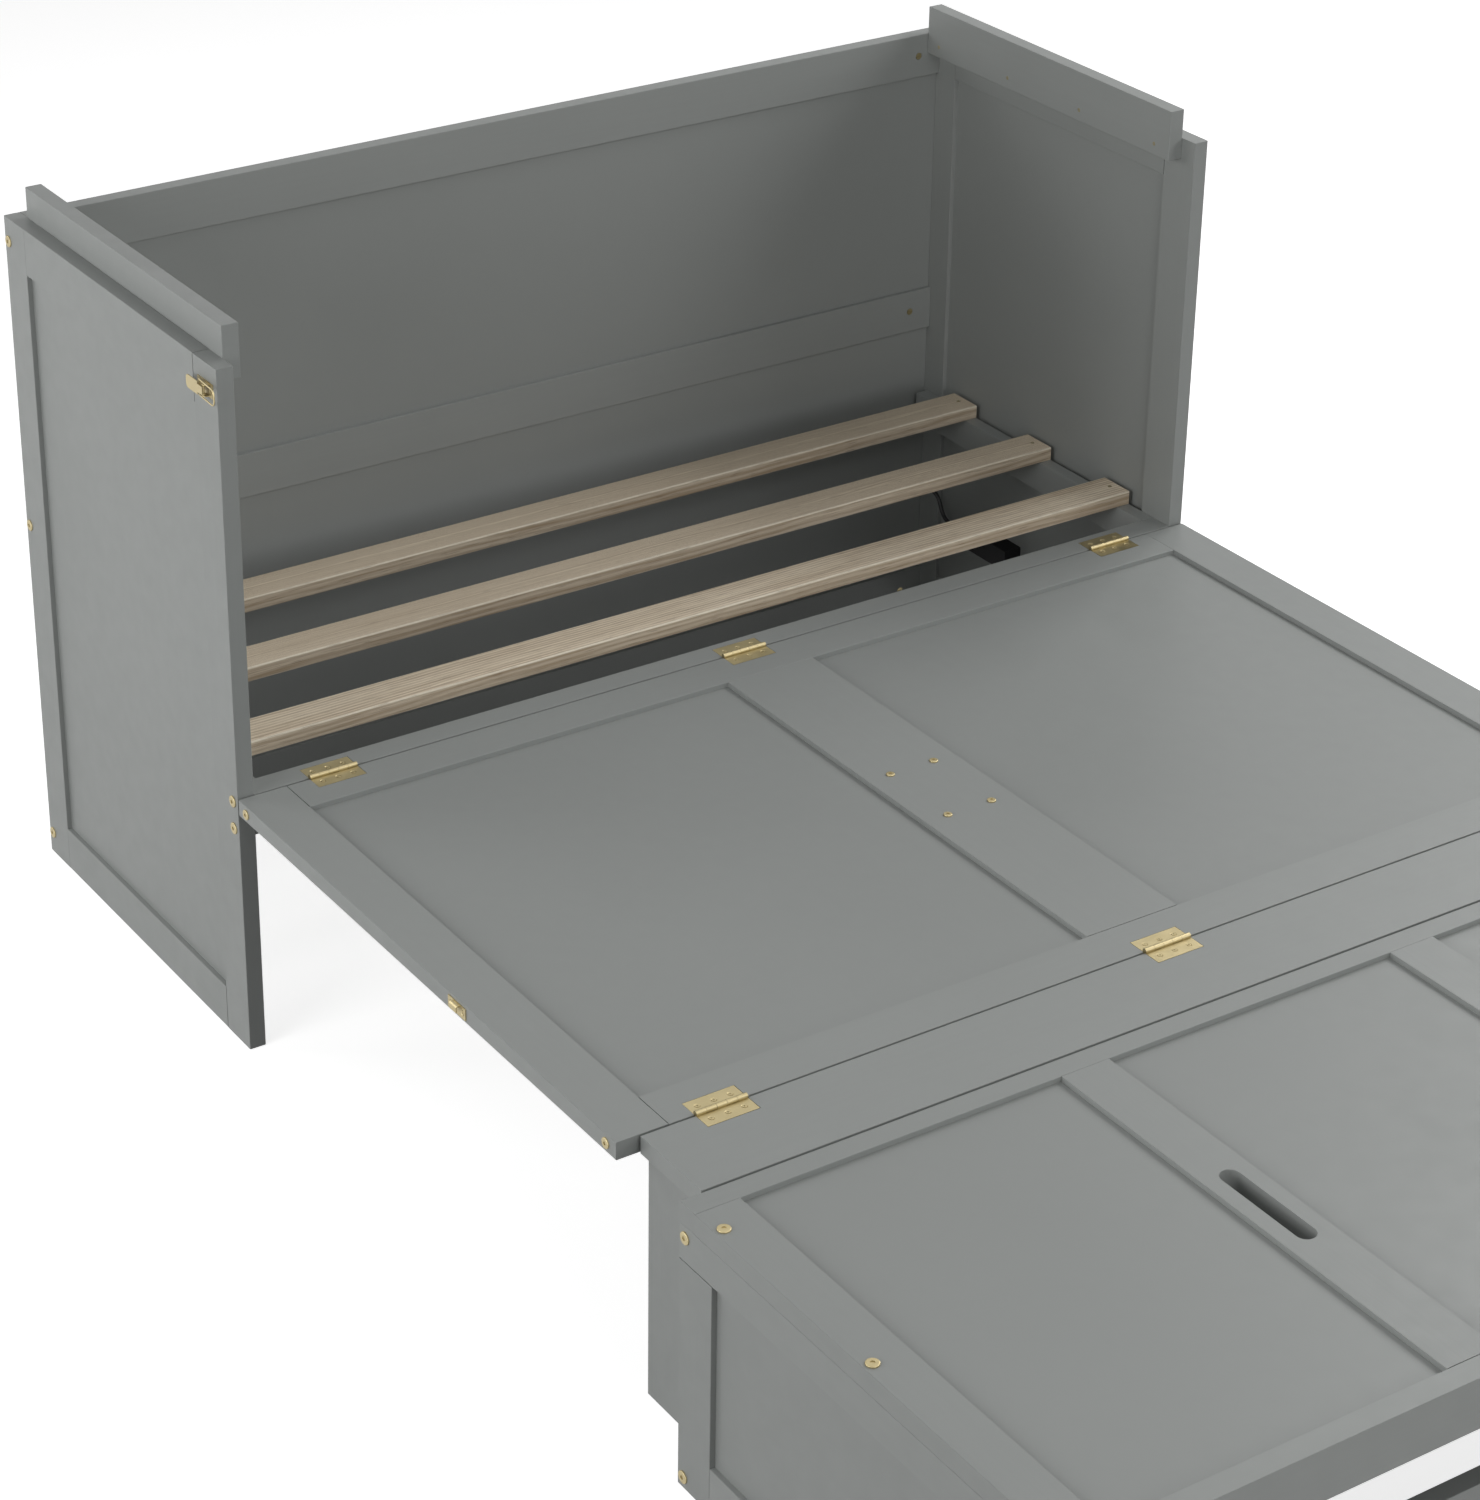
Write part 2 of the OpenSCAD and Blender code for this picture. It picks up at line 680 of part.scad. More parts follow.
leg_round = leg_side / 2;
leg_clear = 0.8;
leg_pin_z = deck_low_z - bracket_t - leg_clear - leg_round;
cheek_gap = leg_side + 3;
cheek_low = leg_pin_z - leg_pin_d * 1.1;
leg_bore_d = leg_pin_d + 0.12;
module leg_bracket() {
    plate_x = bracket_bolt_x + 26;
    plate_y = bracket_bolt_y + 26;
    color(steel) {
        difference() {
            union() {
                translate([-plate_x / 2, deck_mid_y - plate_y / 2, deck_low_z - bracket_t])
                    cube([plate_x, plate_y, bracket_t]);
                both_sides() translate([cheek_gap / 2, deck_mid_y, 0]) rotate([90, 0, 90])
                    linear_extrude(bracket_t) {
                        translate([-leg_round, leg_pin_z])
                            square([leg_side, deck_low_z - bracket_t / 2 - leg_pin_z]);
                        translate([0, leg_pin_z]) intersection() {
                            circle(r = leg_round);
                            translate([-leg_side, cheek_low - leg_pin_z]) square([2 * leg_side, leg_side]);
                        }
                    }
            }
            bracket_bolts() bolt_hole(board_t + bracket_t + cut);
            translate([0, deck_mid_y, leg_pin_z]) rotate([0, 90, 0])
                cylinder(d = leg_bore_d, h = 2 * cheek_gap, center = true);
        }
        translate([0, deck_mid_y, leg_pin_z]) rotate([0, 90, 0]) {
            cylinder(d = leg_pin_d, h = cheek_gap + 2 * bracket_t + 6, center = true);
            for (s = [-1, 1]) translate([0, 0, s * (cheek_gap / 2 + bracket_t + 2)])
                cylinder(d = leg_pin_d * 1.6, h = 3, center = true);
        }
    }
}
module centre_leg() {
    color(paint) translate([0, deck_mid_y, 0]) difference() {
        rotate([90, 0, 90]) translate([0, 0, -leg_side / 2]) linear_extrude(leg_side) {
            translate([-leg_round, 0]) square([leg_side, leg_pin_z]);
            translate([0, leg_pin_z]) circle(r = leg_round);
        }
        translate([0, 0, leg_pin_z]) rotate([0, 90, 0])
            cylinder(d = leg_bore_d, h = 2 * leg_side, center = true);
    }
}

// Deck catch: a screwed plate on the left edge, with a hook that the bail pulls against

catch_len = 38;
catch_h = 15;
catch_t = 1.2;
hook_w = 15;
hook_out = 5.2;
module catch_place() {
    mirror([1, 0, 0]) translate([half_w, catch_y, deck_low_z + board_t / 2]) children();
}
module deck_catch() {
    color(brass) catch_place() {
        difference() {
            translate([0, -catch_len / 2, -catch_h / 2]) cube([catch_t, catch_len, catch_h]);
            for (s = [-1, 1]) translate([catch_t, s * (catch_len / 2 - 6), 0]) rotate([0, 90, 0])
                screw_seat(catch_t);
        }
        // The hook rises from the plate and turns down, open on the deck's lower side
        translate([catch_t, hook_w / 2, 0]) rotate([90, 0, 0]) linear_extrude(hook_w)
            polygon([[0, catch_h / 2 - 1], [hook_out - 1.5, catch_h / 2 - 1], [hook_out, catch_h / 2 - 2.5],
                [hook_out, -1.5], [hook_out - catch_t, -1.5], [hook_out - catch_t, catch_h / 2 - 3.2],
                [hook_out - 2.2, catch_h / 2 - 2.4], [0, catch_h / 2 - 2.4]]);
    }
}
module catch_screws() {
    catch_place() for (s = [-1, 1]) translate([catch_t, s * (catch_len / 2 - 6), 0])
        rotate([0, 90, 0]) wood_screw(catch_t);
}

// Toggle latch on the left side, drawn with x outwards from the face and y from the front plane

ear_t = 1.2;
ear_z = 6.4;
lever_z = 5.2;
tab_z = 8.4;
bail_z = 9.8;
base_t = 1.2;
bail_pin_y = latch_pin_y + latch_throw;
lever_plate_x = latch_pin_out + 2.1;
latch_pin_r = 1.25;
latch_bore_r = latch_pin_r + pin_play;
module latch_place() {
    mirror([1, 0, 0]) translate([half_w, front_y, latch_z]) children();
}
// Extrude a shape drawn in the x and y plane between two heights
module between(z0, z1) {
    translate([0, 0, z0]) linear_extrude(z1 - z0) children();
}
module latch_base() {
    color(brass) latch_place() {
        difference() {
            union() {
                translate([0, latch_base_y, -9]) cube([base_t, latch_base_len, 18]);
                for (s = [0, 1]) mirror([0, 0, s]) between(ear_z, ear_z + ear_t) {
                    translate([0, latch_pin_y - 4.5]) square([latch_pin_out, 9]);
                    translate([latch_pin_out - 2.5, latch_pin_y]) intersection() {
                        circle(r = 4.5);
                        translate([0, -9]) square([4.2, 18]);
                    }
                }
            }
            translate([latch_pin_out, latch_pin_y, -20]) cylinder(r = latch_bore_r, h = 40);
            latch_screw_places() screw_seat(base_t);
        }
        translate([latch_pin_out, latch_pin_y, -ear_z - ear_t - 0.6])
            cylinder(r = latch_pin_r, h = 2 * (ear_z + ear_t + 0.6));
    }
}
module latch_screw_places() {
    for (y = [latch_screw_inset, latch_base_len - latch_screw_inset])
        translate([base_t, latch_base_y + y, 0]) rotate([0, 90, 0]) children();
}
module latch_screws() {
    latch_place() latch_screw_places() wood_screw(base_t);
}
module latch_lever() {
    tip_y = latch_pin_y + lever_len;
    wide_y = bail_pin_y - 1;
    color(brass) latch_place() {
        difference() {
            union() {
                // Flat thumb plate, narrow between the ears and rounded at its end
                translate([lever_plate_x, 0, 0]) rotate([90, 0, 90]) linear_extrude(1.2) {
                    translate([latch_pin_y - 2.5, -lever_z]) square([lever_len / 2, 2 * lever_z]);
                    translate([wide_y, -tab_z]) square([tip_y - wide_y - 5, 2 * tab_z]);
                    for (s = [-1, 1]) translate([tip_y - 5, s * (tab_z - 5)]) circle(r = 5);
                    translate([tip_y - 5, -tab_z + 5]) square([5, 2 * tab_z - 10]);
                }
                // Cheeks that carry both pins
                for (s = [0, 1]) mirror([0, 0, s]) between(lever_z - 1.2, lever_z) {
                    translate([latch_pin_out - 2.3, latch_pin_y])
                        square([lever_plate_x - latch_pin_out + 2.4, latch_throw]);
                    for (y = [latch_pin_y, bail_pin_y]) translate([latch_pin_out, y]) circle(r = 2.3);
                }
            }
            translate([latch_pin_out, latch_pin_y, -20]) cylinder(r = latch_bore_r, h = 40);
            translate([latch_pin_out, bail_pin_y, -20]) cylinder(r = wire_d / 2 + pin_play, h = 40);
        }
    }
}
// The bail is one bent wire: two arms, a front bar and two short ends in the lever's cheeks
module latch_bail() {
    bend = 7;
    r = wire_d / 2;
    color(brass) latch_place() translate([latch_pin_out, bail_pin_y, 0]) rotate([0, 0, bail_tilt])
        for (s = [0, 1]) mirror([0, 0, s]) {
            translate([0, 0, lever_z - 1.6]) cylinder(r = r, h = bail_z - lever_z + 1.6 - r * 0.2);
            translate([0, 0, bail_z]) sphere(r = r);
            translate([0, 0, bail_z]) rotate([90, 0, 0]) cylinder(r = r, h = bail_len - bend);
            translate([0, -bail_len + bend, bail_z - bend]) rotate([0, -90, 0]) rotate([0, 0, -90])
                rotate_extrude(angle = 90) translate([bend, 0]) circle(r = r, $fn = 24);
            translate([0, -bail_len, -0.01]) cylinder(r = r, h = bail_z - bend + 0.01);
        }
}

// Foot stand

board_half = half_w - foot_board_inset;
leg_out_x = board_half - foot_leg_inset;
module foot_board() {
    color(paint) difference() {
        deck_height() board_x([-board_half, board_foot_y], [board_half, board_back_y], board_t);
        at_hinges(foot_pin_y) towards_foot() mortise();
    }
}
module right_foot_leg() {
    color(paint) side(leg_out_x - board_t, 0)
        board_y([board_foot_y + 4, 0], [deck_foot_y + foot_leg_reach, deck_low_z], board_t);
}
module left_foot_leg() { mirror([1, 0, 0]) right_foot_leg(); }
module foot_cross_board() {
    x = leg_out_x - board_t;
    color(paint) back((board_back_y + board_foot_y + board_t) / 2)
        board_x([-x, deck_low_z - foot_cross_h], [x, deck_low_z], board_t);
}
module foot_hinge_leaves() {
    color(brass) at_hinges(foot_pin_y) towards_foot() hinge_leaf(0);
}
module foot_screws() {
    color(brass) at_hinges(foot_pin_y) towards_foot() leaf_screws();
}

// Foot box

box_panel_foot_y = box_foot_y + foot_rail_t;
box_panel_back_y = box_back_y - box_top_rail_w;
box_top_xs = [-half_w + box_stile_w, -box_inner_x - box_inner_w / 2, -box_inner_x + box_inner_w / 2,
    box_inner_x - box_inner_w / 2, box_inner_x + box_inner_w / 2, half_w - box_stile_w];
box_openings = [for (i = [0, 2, 4])
    [[box_top_xs[i], box_panel_foot_y], [box_top_xs[i + 1], box_panel_back_y]]];
module box_top_height() {
    translate([0, 0, box_side_h]) children();
}
module box_top_bolts() {
    both_sides() for (y = box_bolt_ys) translate([half_w - board_t / 2, y, box_top_z]) children();
}
module hand_slot() {
    y = (box_panel_foot_y + box_panel_back_y) / 2;
    straight = slot_len - slot_w;
    both_sides() translate([box_inner_x, y, -cut]) linear_extrude(box_top_t + 2 * cut) {
        square([slot_w, straight], center = true);
        for (s = [-1, 1]) translate([0, s * straight / 2]) circle(d = slot_w);
    }
}
module box_top_frame() {
    far = box_panel_back_y - seam;
    color(paint) difference() {
        box_top_height() grooved(box_openings, box_top_t) {
            board_x([-half_w, box_panel_back_y], [half_w, box_back_y], box_top_t);
            both_sides() board_y([half_w - box_stile_w, box_panel_foot_y], [half_w, far], box_top_t);
        }
        box_top_bolts() bolt_hole(box_top_t + cut);
    }
}
module box_centre_stiles() {
    color(paint) box_top_height() difference() {
        grooved(box_openings, box_top_t) both_sides()
            board_y([box_top_xs[3], box_panel_foot_y], [box_top_xs[4], box_panel_back_y], box_top_t);
        hand_slot();
    }
}
module box_top_panels() {
    color(paint) box_top_height() for (opening = box_openings) panel(opening, box_top_t);
}
module box_foot_rail() {
    color(paint) difference() {
        translate([-half_w, box_foot_y, box_top_z - foot_rail_h]) rotate([90, 0, 90])
            linear_extrude(bed_w) eased(foot_rail_t, foot_rail_h);
        box_top_height() for (opening = box_openings) panel_space(opening, box_top_t, groove_d + groove_play);
    }
}
box_side_opening = [[side_stile_w, box_low_rail_w],
    [cabinet_depth - side_stile_w, box_side_h - box_side_rail_w]];
module box_back_bolts() {
    for (z = box_back_bolt_zs) translate([half_w, box_back_y - board_t / 2, z]) rotate([0, 90, 0]) children();
    for (z = box_cross_bolt_zs) translate([half_w, box_side_foot_y + board_t / 2, z])
        rotate([0, 90, 0]) children();
}
box_bolt_len = board_t + nut_reach;
box_down_bolt = box_top_t + 30;
module box_right_frame() {
    rail_low = box_side_h - box_side_rail_w;
    far = cabinet_depth - side_stile_w;
    color(paint) difference() {
        side(inner_x, box_side_foot_y) grooved([box_side_opening], board_t) {
            board_x([0, rail_low], [cabinet_depth, box_side_h], board_t);
            board_y([0, 0], [side_stile_w, rail_low - seam], board_t);
            board_y([far, 0], [cabinet_depth, rail_low - seam], board_t);
            board_x([side_stile_w + seam, 0], [far - seam, box_low_rail_w], board_t);
        }
        box_top_bolts() bolt_hole(box_down_bolt);
        box_back_bolts() bolt_hole(box_bolt_len);
    }
}
module box_left_frame() { mirror([1, 0, 0]) box_right_frame(); }
module box_side_panels() {
    color(paint) both_sides() side(inner_x, box_side_foot_y) panel(box_side_opening, board_t);
}
box_back_opening = [[-inner_x, box_back_rail_w], [inner_x, box_side_h - box_back_rail_w]];
module box_back_rails() {
    color(paint) difference() {
        back(box_back_y) for (z = [0, box_side_h - box_back_rail_w]) difference() {
            board_x([-inner_x, z], [inner_x, z + box_back_rail_w], board_t);
            back_groove(box_back_opening);
        }
        both_sides() box_back_bolts() bolt_hole(box_bolt_len);
    }
}
module box_back_panel() {
    color(paint) back(box_back_y) translate([-inner_x, box_back_rail_w - groove_d, panel_recess])
        cube([2 * inner_x, box_side_h - 2 * (box_back_rail_w - groove_d), panel_t]);
}
module box_cross_board() {
    color(paint) difference() {
        back(box_side_foot_y + board_t) board_x([-inner_x, 0], [inner_x, box_cross_h], board_t);
        both_sides() box_back_bolts() bolt_hole(box_bolt_len);
    }
}
module box_bolts() {
    color(brass) {
        box_top_bolts() bolt(box_down_bolt - 2);
        both_sides() box_back_bolts() bolt(box_bolt_len - 2);
    }
}

// Socket unit in the right side's panel, with its rim outside and its body inside

socket_play = 0.5;
socket_rim_t = 2.5;
blade_gap = 12.7;
blade_w = 6.3;
blade_t = 1.5;
blade_len = 17;
ground_d = 4.8;
ground_drop = 11.9;
ground_len = 21;
slot_depth = 9;
relief_r = cord_d / 2 + 0.6;
module socket_block(x0, x1, edge) {
    translate([x0, front_y + socket_y - socket_len / 2 - edge, socket_z - socket_h / 2 - edge])
        cube([x1 - x0, socket_len + 2 * edge, socket_h + 2 * edge]);
}
// Two flat blades and a round pin, along +x from the origin, loose by the given play
module blades(play, blade_len, ground_len) {
    for (s = [-1, 1])
        translate([0, -ground_drop / 3 - blade_w / 2 - play, s * blade_gap / 2 - blade_t / 2 - play])
            cube([blade_len, blade_w + 2 * play, blade_t + 2 * play]);
    translate([0, ground_drop * 2 / 3, 0]) rotate([0, 90, 0])
        cylinder(d = ground_d + 2 * play, h = ground_len);
}
module socket_unit() {
    face_x = half_w - panel_recess;
    rim_x = face_x + socket_rim_t;
    exit = cord_route[0];
    color(black) {
        difference() {
            union() {
                socket_block(inner_x - socket_in, face_x + cut, 0);
                socket_block(face_x, rim_x, socket_lip);
            }
            for (s = [-1, 1])
                translate([rim_x - slot_depth, front_y + socket_y + s * socket_len / 4, socket_z])
                blades(0.4, slot_depth + cut, slot_depth + cut);
        }
        translate([exit.x, socket_end_y - cut, exit.z]) rotate([-90, 0, 0])
            cylinder(r1 = cord_d / 2 + 3, r2 = relief_r, h = exit.y - socket_end_y + cut);
    }
}
module cord_grommet() {
    rim_t = 2;
    rim_d = grommet_hole_d + 6;
    play = 0.1;
    color(black) back(wall_y) translate([grommet_at[0], grommet_at[1], 0]) difference() {
        union() {
            translate([0, 0, panel_recess - rim_t]) cylinder(d = rim_d, h = rim_t);
            translate([0, 0, panel_recess - cut])
                cylinder(d = grommet_hole_d - 2 * play, h = panel_t + 2 * cut);
            translate([0, 0, panel_recess + panel_t]) cylinder(d = rim_d, h = rim_t);
        }
        cylinder(d = cord_d + 0.4, h = board_t);
    }
}

// Cord: a tube with one ring of points at each point of its path

function unit(v) = v / norm(v);
function heading(path, i) = unit(path[min(i + 1, len(path) - 1)] - path[max(i - 1, 0)]);
function ring(path, i, r, sides, upright) =
    let (h = heading(path, i), a = unit(cross(h, upright)), b = cross(h, a))
    [for (k = [0:sides - 1]) path[i] + r * (cos(k * 360 / sides) * a + sin(k * 360 / sides) * b)];
module tube(path, r, sides, upright) {
    last = len(path) - 1;
    points = [for (i = [0:last]) each ring(path, i, r, sides, upright)];
    walls = [for (i = [0:last - 1], k = [0:sides - 1])
        let (a = i * sides + k, b = i * sides + (k + 1) % sides, c = a + sides, d = b + sides)
        each [[a, c, d], [a, d, b]]];
    start = [for (k = [0:sides - 1]) k];
    finish = [for (k = [sides - 1:-1:0]) last * sides + k];
    polyhedron(points, concat([start], walls, [finish]));
}
module power_cord() {
    color(black) tube(cord_route, cord_d / 2, 10, [1, 1, 0]);
}

// Coil: it spirals in on the floor, climbs in half a turn and spirals out on top of itself
coil_step = cord_d + 0.5;
coil_lead = 14;
coil_tail = 20;
coil_from = cord_route[len(cord_route) - 1];
coil_mid = coil_from + [-coil_lead, coil_out_r, 0];
function coil_r(t) = coil_out_r - coil_step * min(t, coil_turns - t);
function coil_rise(t) = let (s = min(max((t - coil_turns / 2 + 0.25) * 2, 0), 1))
    coil_step * (1 - cos(180 * s)) / 2;
function coil_point(t) = coil_mid + [-coil_r(t) * sin(360 * t), -coil_r(t) * cos(360 * t), coil_rise(t)];
coil_steps = 24;
coil_loops = [for (i = [0:coil_steps * coil_turns]) coil_point(i / coil_steps)];
coil_end = coil_point(coil_turns) - [coil_tail, 0, 0];
coil_path = concat([coil_from], coil_loops, [coil_end]);
coil_gap = min([for (i = [0:len(coil_loops) - 1], j = [i + coil_steps / 3:len(coil_loops) - 1])
    norm(coil_loops[i] - coil_loops[j])]) - cord_d;
echo(least_gap_in_coil = coil_gap);
module cord_coil() {
    color(black) tube(coil_path, cord_d / 2, 6, [0, 0, 1]);
}

// Plug at the end of the coil, lying on the floor
plug_len = 36;
plug_w = 25;
plug_neck_len = 25;
module power_plug() {
    plug_h = 2 * coil_end.z;
    round_r = 4;
    color(black) translate(coil_end) {
        translate([-plug_neck_len - cut, 0, 0]) rotate([0, 90, 0])
            cylinder(r1 = cord_d / 2 + 3.5, r2 = relief_r, h = plug_neck_len + cut);
        hull() for (y = [-1, 1], z = [-1, 1]) {
            translate([-plug_neck_len - plug_len, y * (plug_w / 2 - round_r), z * (plug_h / 2 - round_r)])
                rotate([0, 90, 0]) cylinder(r = round_r, h = plug_len * 0.7, $fn = 32);
            translate([-plug_neck_len - 1, y * (plug_w / 3 - round_r), z * (plug_h / 2.2 - round_r)])
                rotate([0, 90, 0]) cylinder(r = round_r, h = 1, $fn = 32);
        }
        translate([-plug_neck_len - plug_len + cut, 0, 0]) mirror([1, 0, 0])
            blades(0, blade_len + cut, ground_len + cut);
    }
}

left_side_frame();
left_side_panel();
right_side_frame();
right_side_panel();
back_rails();
back_panels();
front_rail();
left_cleat();
right_cleat();
left_ledger();
right_ledger();
slat_back();
slat_middle();
slat_front();
cabinet_bolts();
barrel_nuts();
cleat_screws();
slat_screws();
cabinet_hinge_leaves();
cabinet_hinge_pins();
cabinet_screws();
latch_base();
socket_unit();
power_cord();
cord_coil();
power_plug();
cord_grommet();
deck_stiles();
deck_rails();
deck_centre_stile();
deck_panels();
deck_hinge_leaves();
deck_screws();
foot_hinge_pins();
deck_bolts();
leg_bracket();
deck_catch();
centre_leg();
foot_board();
left_foot_leg();
right_foot_leg();
foot_cross_board();
foot_hinge_leaves();
foot_screws();
box_top_frame();
box_centre_stiles();
box_top_panels();
box_foot_rail();
box_left_frame();
box_right_frame();
box_side_panels();
box_back_rails();
box_back_panel();
box_cross_board();
box_bolts();
latch_lever();
latch_bail();
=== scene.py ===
import json
import math
import random
import bmesh
import bpy
from mathutils import Matrix, Vector

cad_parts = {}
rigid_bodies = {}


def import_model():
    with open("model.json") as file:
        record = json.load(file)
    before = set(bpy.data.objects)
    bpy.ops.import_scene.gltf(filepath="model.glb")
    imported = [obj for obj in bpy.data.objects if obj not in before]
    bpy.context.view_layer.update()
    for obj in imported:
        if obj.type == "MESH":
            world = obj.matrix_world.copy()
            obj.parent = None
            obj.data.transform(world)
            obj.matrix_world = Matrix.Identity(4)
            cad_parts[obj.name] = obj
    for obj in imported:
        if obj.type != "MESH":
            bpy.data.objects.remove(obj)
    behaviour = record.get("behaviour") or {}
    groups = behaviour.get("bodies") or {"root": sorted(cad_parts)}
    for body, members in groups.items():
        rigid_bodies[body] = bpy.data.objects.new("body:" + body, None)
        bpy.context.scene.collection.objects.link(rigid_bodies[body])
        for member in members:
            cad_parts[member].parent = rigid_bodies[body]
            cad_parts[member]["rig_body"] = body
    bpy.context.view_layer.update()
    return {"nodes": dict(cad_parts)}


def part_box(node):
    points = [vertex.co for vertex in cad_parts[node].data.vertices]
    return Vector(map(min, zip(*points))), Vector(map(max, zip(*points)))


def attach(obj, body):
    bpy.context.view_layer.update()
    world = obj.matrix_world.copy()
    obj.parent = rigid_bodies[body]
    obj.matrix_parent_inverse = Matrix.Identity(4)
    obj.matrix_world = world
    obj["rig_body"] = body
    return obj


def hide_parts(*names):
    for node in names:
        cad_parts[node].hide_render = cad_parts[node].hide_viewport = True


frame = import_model()
cad = frame["nodes"]

# Camera: it stands high to the left of the foot end and looks down along the bed. Its shifted lens
# frames the bed off its own axis, as the photograph does.
azimuth, elevation, roll = math.radians(-32.985), math.radians(26.079), math.radians(0.333)
eye = (-2.4707, -3.1167, 2.6071)
photo_w_px, photo_h_px, focal_px = 1480, 1500, 3818.2
axis_x_px, axis_y_px = 670.3, 579.8
lens = bpy.data.cameras.new("camera")
lens.sensor_width = 36
lens.lens = 36 * focal_px / photo_h_px
lens.shift_x = (photo_w_px / 2 - axis_x_px) / photo_h_px
lens.shift_y = (axis_y_px - photo_h_px / 2) / photo_h_px
lens.clip_end = 200
camera = bpy.data.objects.new("camera", lens)
camera.matrix_world = (Matrix.Translation(eye) @ Matrix.Rotation(azimuth, 4, "Z")
                       @ Matrix.Rotation(math.pi / 2 - elevation, 4, "X") @ Matrix.Rotation(roll, 4, "Z"))
bpy.context.scene.collection.objects.link(camera)
bpy.context.scene.camera = camera


# Power cord: a black mains lead with a flexible round jacket. It leaves the socket unit, passes the
# grommet in the back and hangs to the floor, where its spare length lies wound up in a strap.
class Shade:
    """One output of a node, so that the sums of a finish read as sums."""

    def __init__(self, tree, socket):
        self.tree, self.socket = tree, socket

    def node(self, kind, settings=(), values=(), out=0):
        new = self.tree.nodes.new(kind)
        for key, value in dict(settings).items():
            setattr(new, key, value)
        for key, value in dict(values).items():
            plug_in(self.tree, new.inputs[key], value)
        return Shade(self.tree, new.outputs[out])

    def sum(self, operation, first, second=0.0):
        return self.node("ShaderNodeMath", {"operation": operation}, {0: first, 1: second})

    def __add__(self, other):
        return self.sum("ADD", self, other)

    def __radd__(self, other):
        return self.sum("ADD", other, self)

    def __sub__(self, other):
        return self.sum("SUBTRACT", self, other)

    def __rsub__(self, other):
        return self.sum("SUBTRACT", other, self)

    def __mul__(self, other):
        return self.sum("MULTIPLY", self, other)

    def __rmul__(self, other):
        return self.sum("MULTIPLY", other, self)

    def __truediv__(self, other):
        return self.sum("DIVIDE", self, other)

    def __rtruediv__(self, other):
        return self.sum("DIVIDE", other, self)

    def stretched(self, across):
        return self.node("ShaderNodeVectorMath", {"operation": "MULTIPLY"}, {0: self, 1: across})

    def moved(self, by):
        return self.node("ShaderNodeVectorMath", {"operation": "ADD"}, {0: self, 1: by})

    def noise(self, scale, detail=2.0, roughness=0.5):
        return self.node("ShaderNodeTexNoise", {}, {"Vector": self, "Scale": scale, "Detail": detail,
                                                   "Roughness": roughness})

    def eased(self, low, high, to_low=0.0, to_high=1.0):
        return self.node("ShaderNodeMapRange", {"interpolation_type": "SMOOTHSTEP"},
                         {"Value": self, "From Min": low, "From Max": high,
                          "To Min": to_low, "To Max": to_high})

    def between(self, first, second):
        """A colour that goes from the first to the second as this goes from 0 to 1."""
        return self.node("ShaderNodeMix", {"data_type": "RGBA"}, {"Factor": self, 6: first, 7: second}, out=2)


def plug_in(tree, socket, value):
    if isinstance(value, Shade):
        tree.links.new(value.socket, socket)
    elif isinstance(value, tuple) and len(value) == 3 and socket.type == "RGBA":
        socket.default_value = (*value, 1)
    else:
        socket.default_value = value


def seen(red, green, blue):
    """The light that a colour reflects, from its value as it is seen on a screen."""
    return tuple(((c / 255 + 0.055) / 1.055) ** 2.4 if c > 10 else c / 3294.6 for c in (red, green, blue))


class Finish:
    """A material, its shader and the place on the object where it is worked out."""

    def __init__(self, name, slot, **constants):
        self.material = bpy.data.materials.new(name)
        self.material.use_nodes = True
        self.slot = slot
        self.tree = self.material.node_tree
        self.shader = self.tree.nodes["Principled BSDF"]
        for key, value in constants.items():
            self.shader.inputs[key.replace("_", " ")].default_value = value
        self.place = Shade(self.tree, self.tree.nodes.new("ShaderNodeTexCoord").outputs["Object"])

    def carried(self, name, out="Vector"):
        return self.place.node("ShaderNodeAttribute", {"attribute_name": name}, out=out)

    def set(self, **values):
        for key, value in values.items():
            plug_in(self.tree, self.shader.inputs[key.replace("_", " ")], value)

    def relief(self, height, depth):
        bump = self.place.node("ShaderNodeBump", {}, {"Height": height, "Distance": depth, "Strength": 1.0})
        self.set(Normal=bump)


jacket = Finish("cord_jacket", "cord_jacket", Specular_IOR_Level=0.4)
scuffs = jacket.place.noise(60, 4)
jacket.set(Base_Color=scuffs.between(seen(20, 20, 21), seen(36, 36, 37)),
           Roughness=scuffs.eased(0.3, 0.7, 0.42, 0.6))
jacket.relief(jacket.place.noise(1500, 1), 0.00003)

cord_r = 0.003
cord_mm = [(697, 976, 172), (697, 988, 172), (698, 1000, 171.5), (699, 1010.6, 173.4),
           (700, 1019.3, 179.8), (700, 1024.7, 189.2), (700, 1030.2, 198.5), (699, 1038.9, 204.8),
           (697, 1049.5, 207), (694, 1062, 207), (692, 1074, 207), (690, 1086, 207), (690, 1098, 207),
           (690, 1110, 205), (689, 1120, 198), (688, 1126, 187), (687, 1128, 174), (686, 1128, 160),
           (686, 1127, 146), (686, 1126, 132), (686, 1125, 118), (686, 1124, 104), (686, 1123, 90),
           (686, 1121, 76), (686, 1119, 62), (686, 1118, 49), (685, 1117, 37), (682, 1116, 25),
           (676, 1115, 15), (667, 1115, 7), (655, 1115, 3), (642, 1115, 3), (629, 1115, 3),
           (616, 1115, 3), (603, 1115, 3), (589, 1115, 3), (576, 1115, 3), (562, 1115, 3)]
route = [Vector(p) / 1000 for p in cord_mm]
coil_r, coil_step, coil_turns, points_a_turn = 0.044, 0.0065, 6, 48
coil_mid = route[-1] + Vector((-0.014, coil_r, 0))


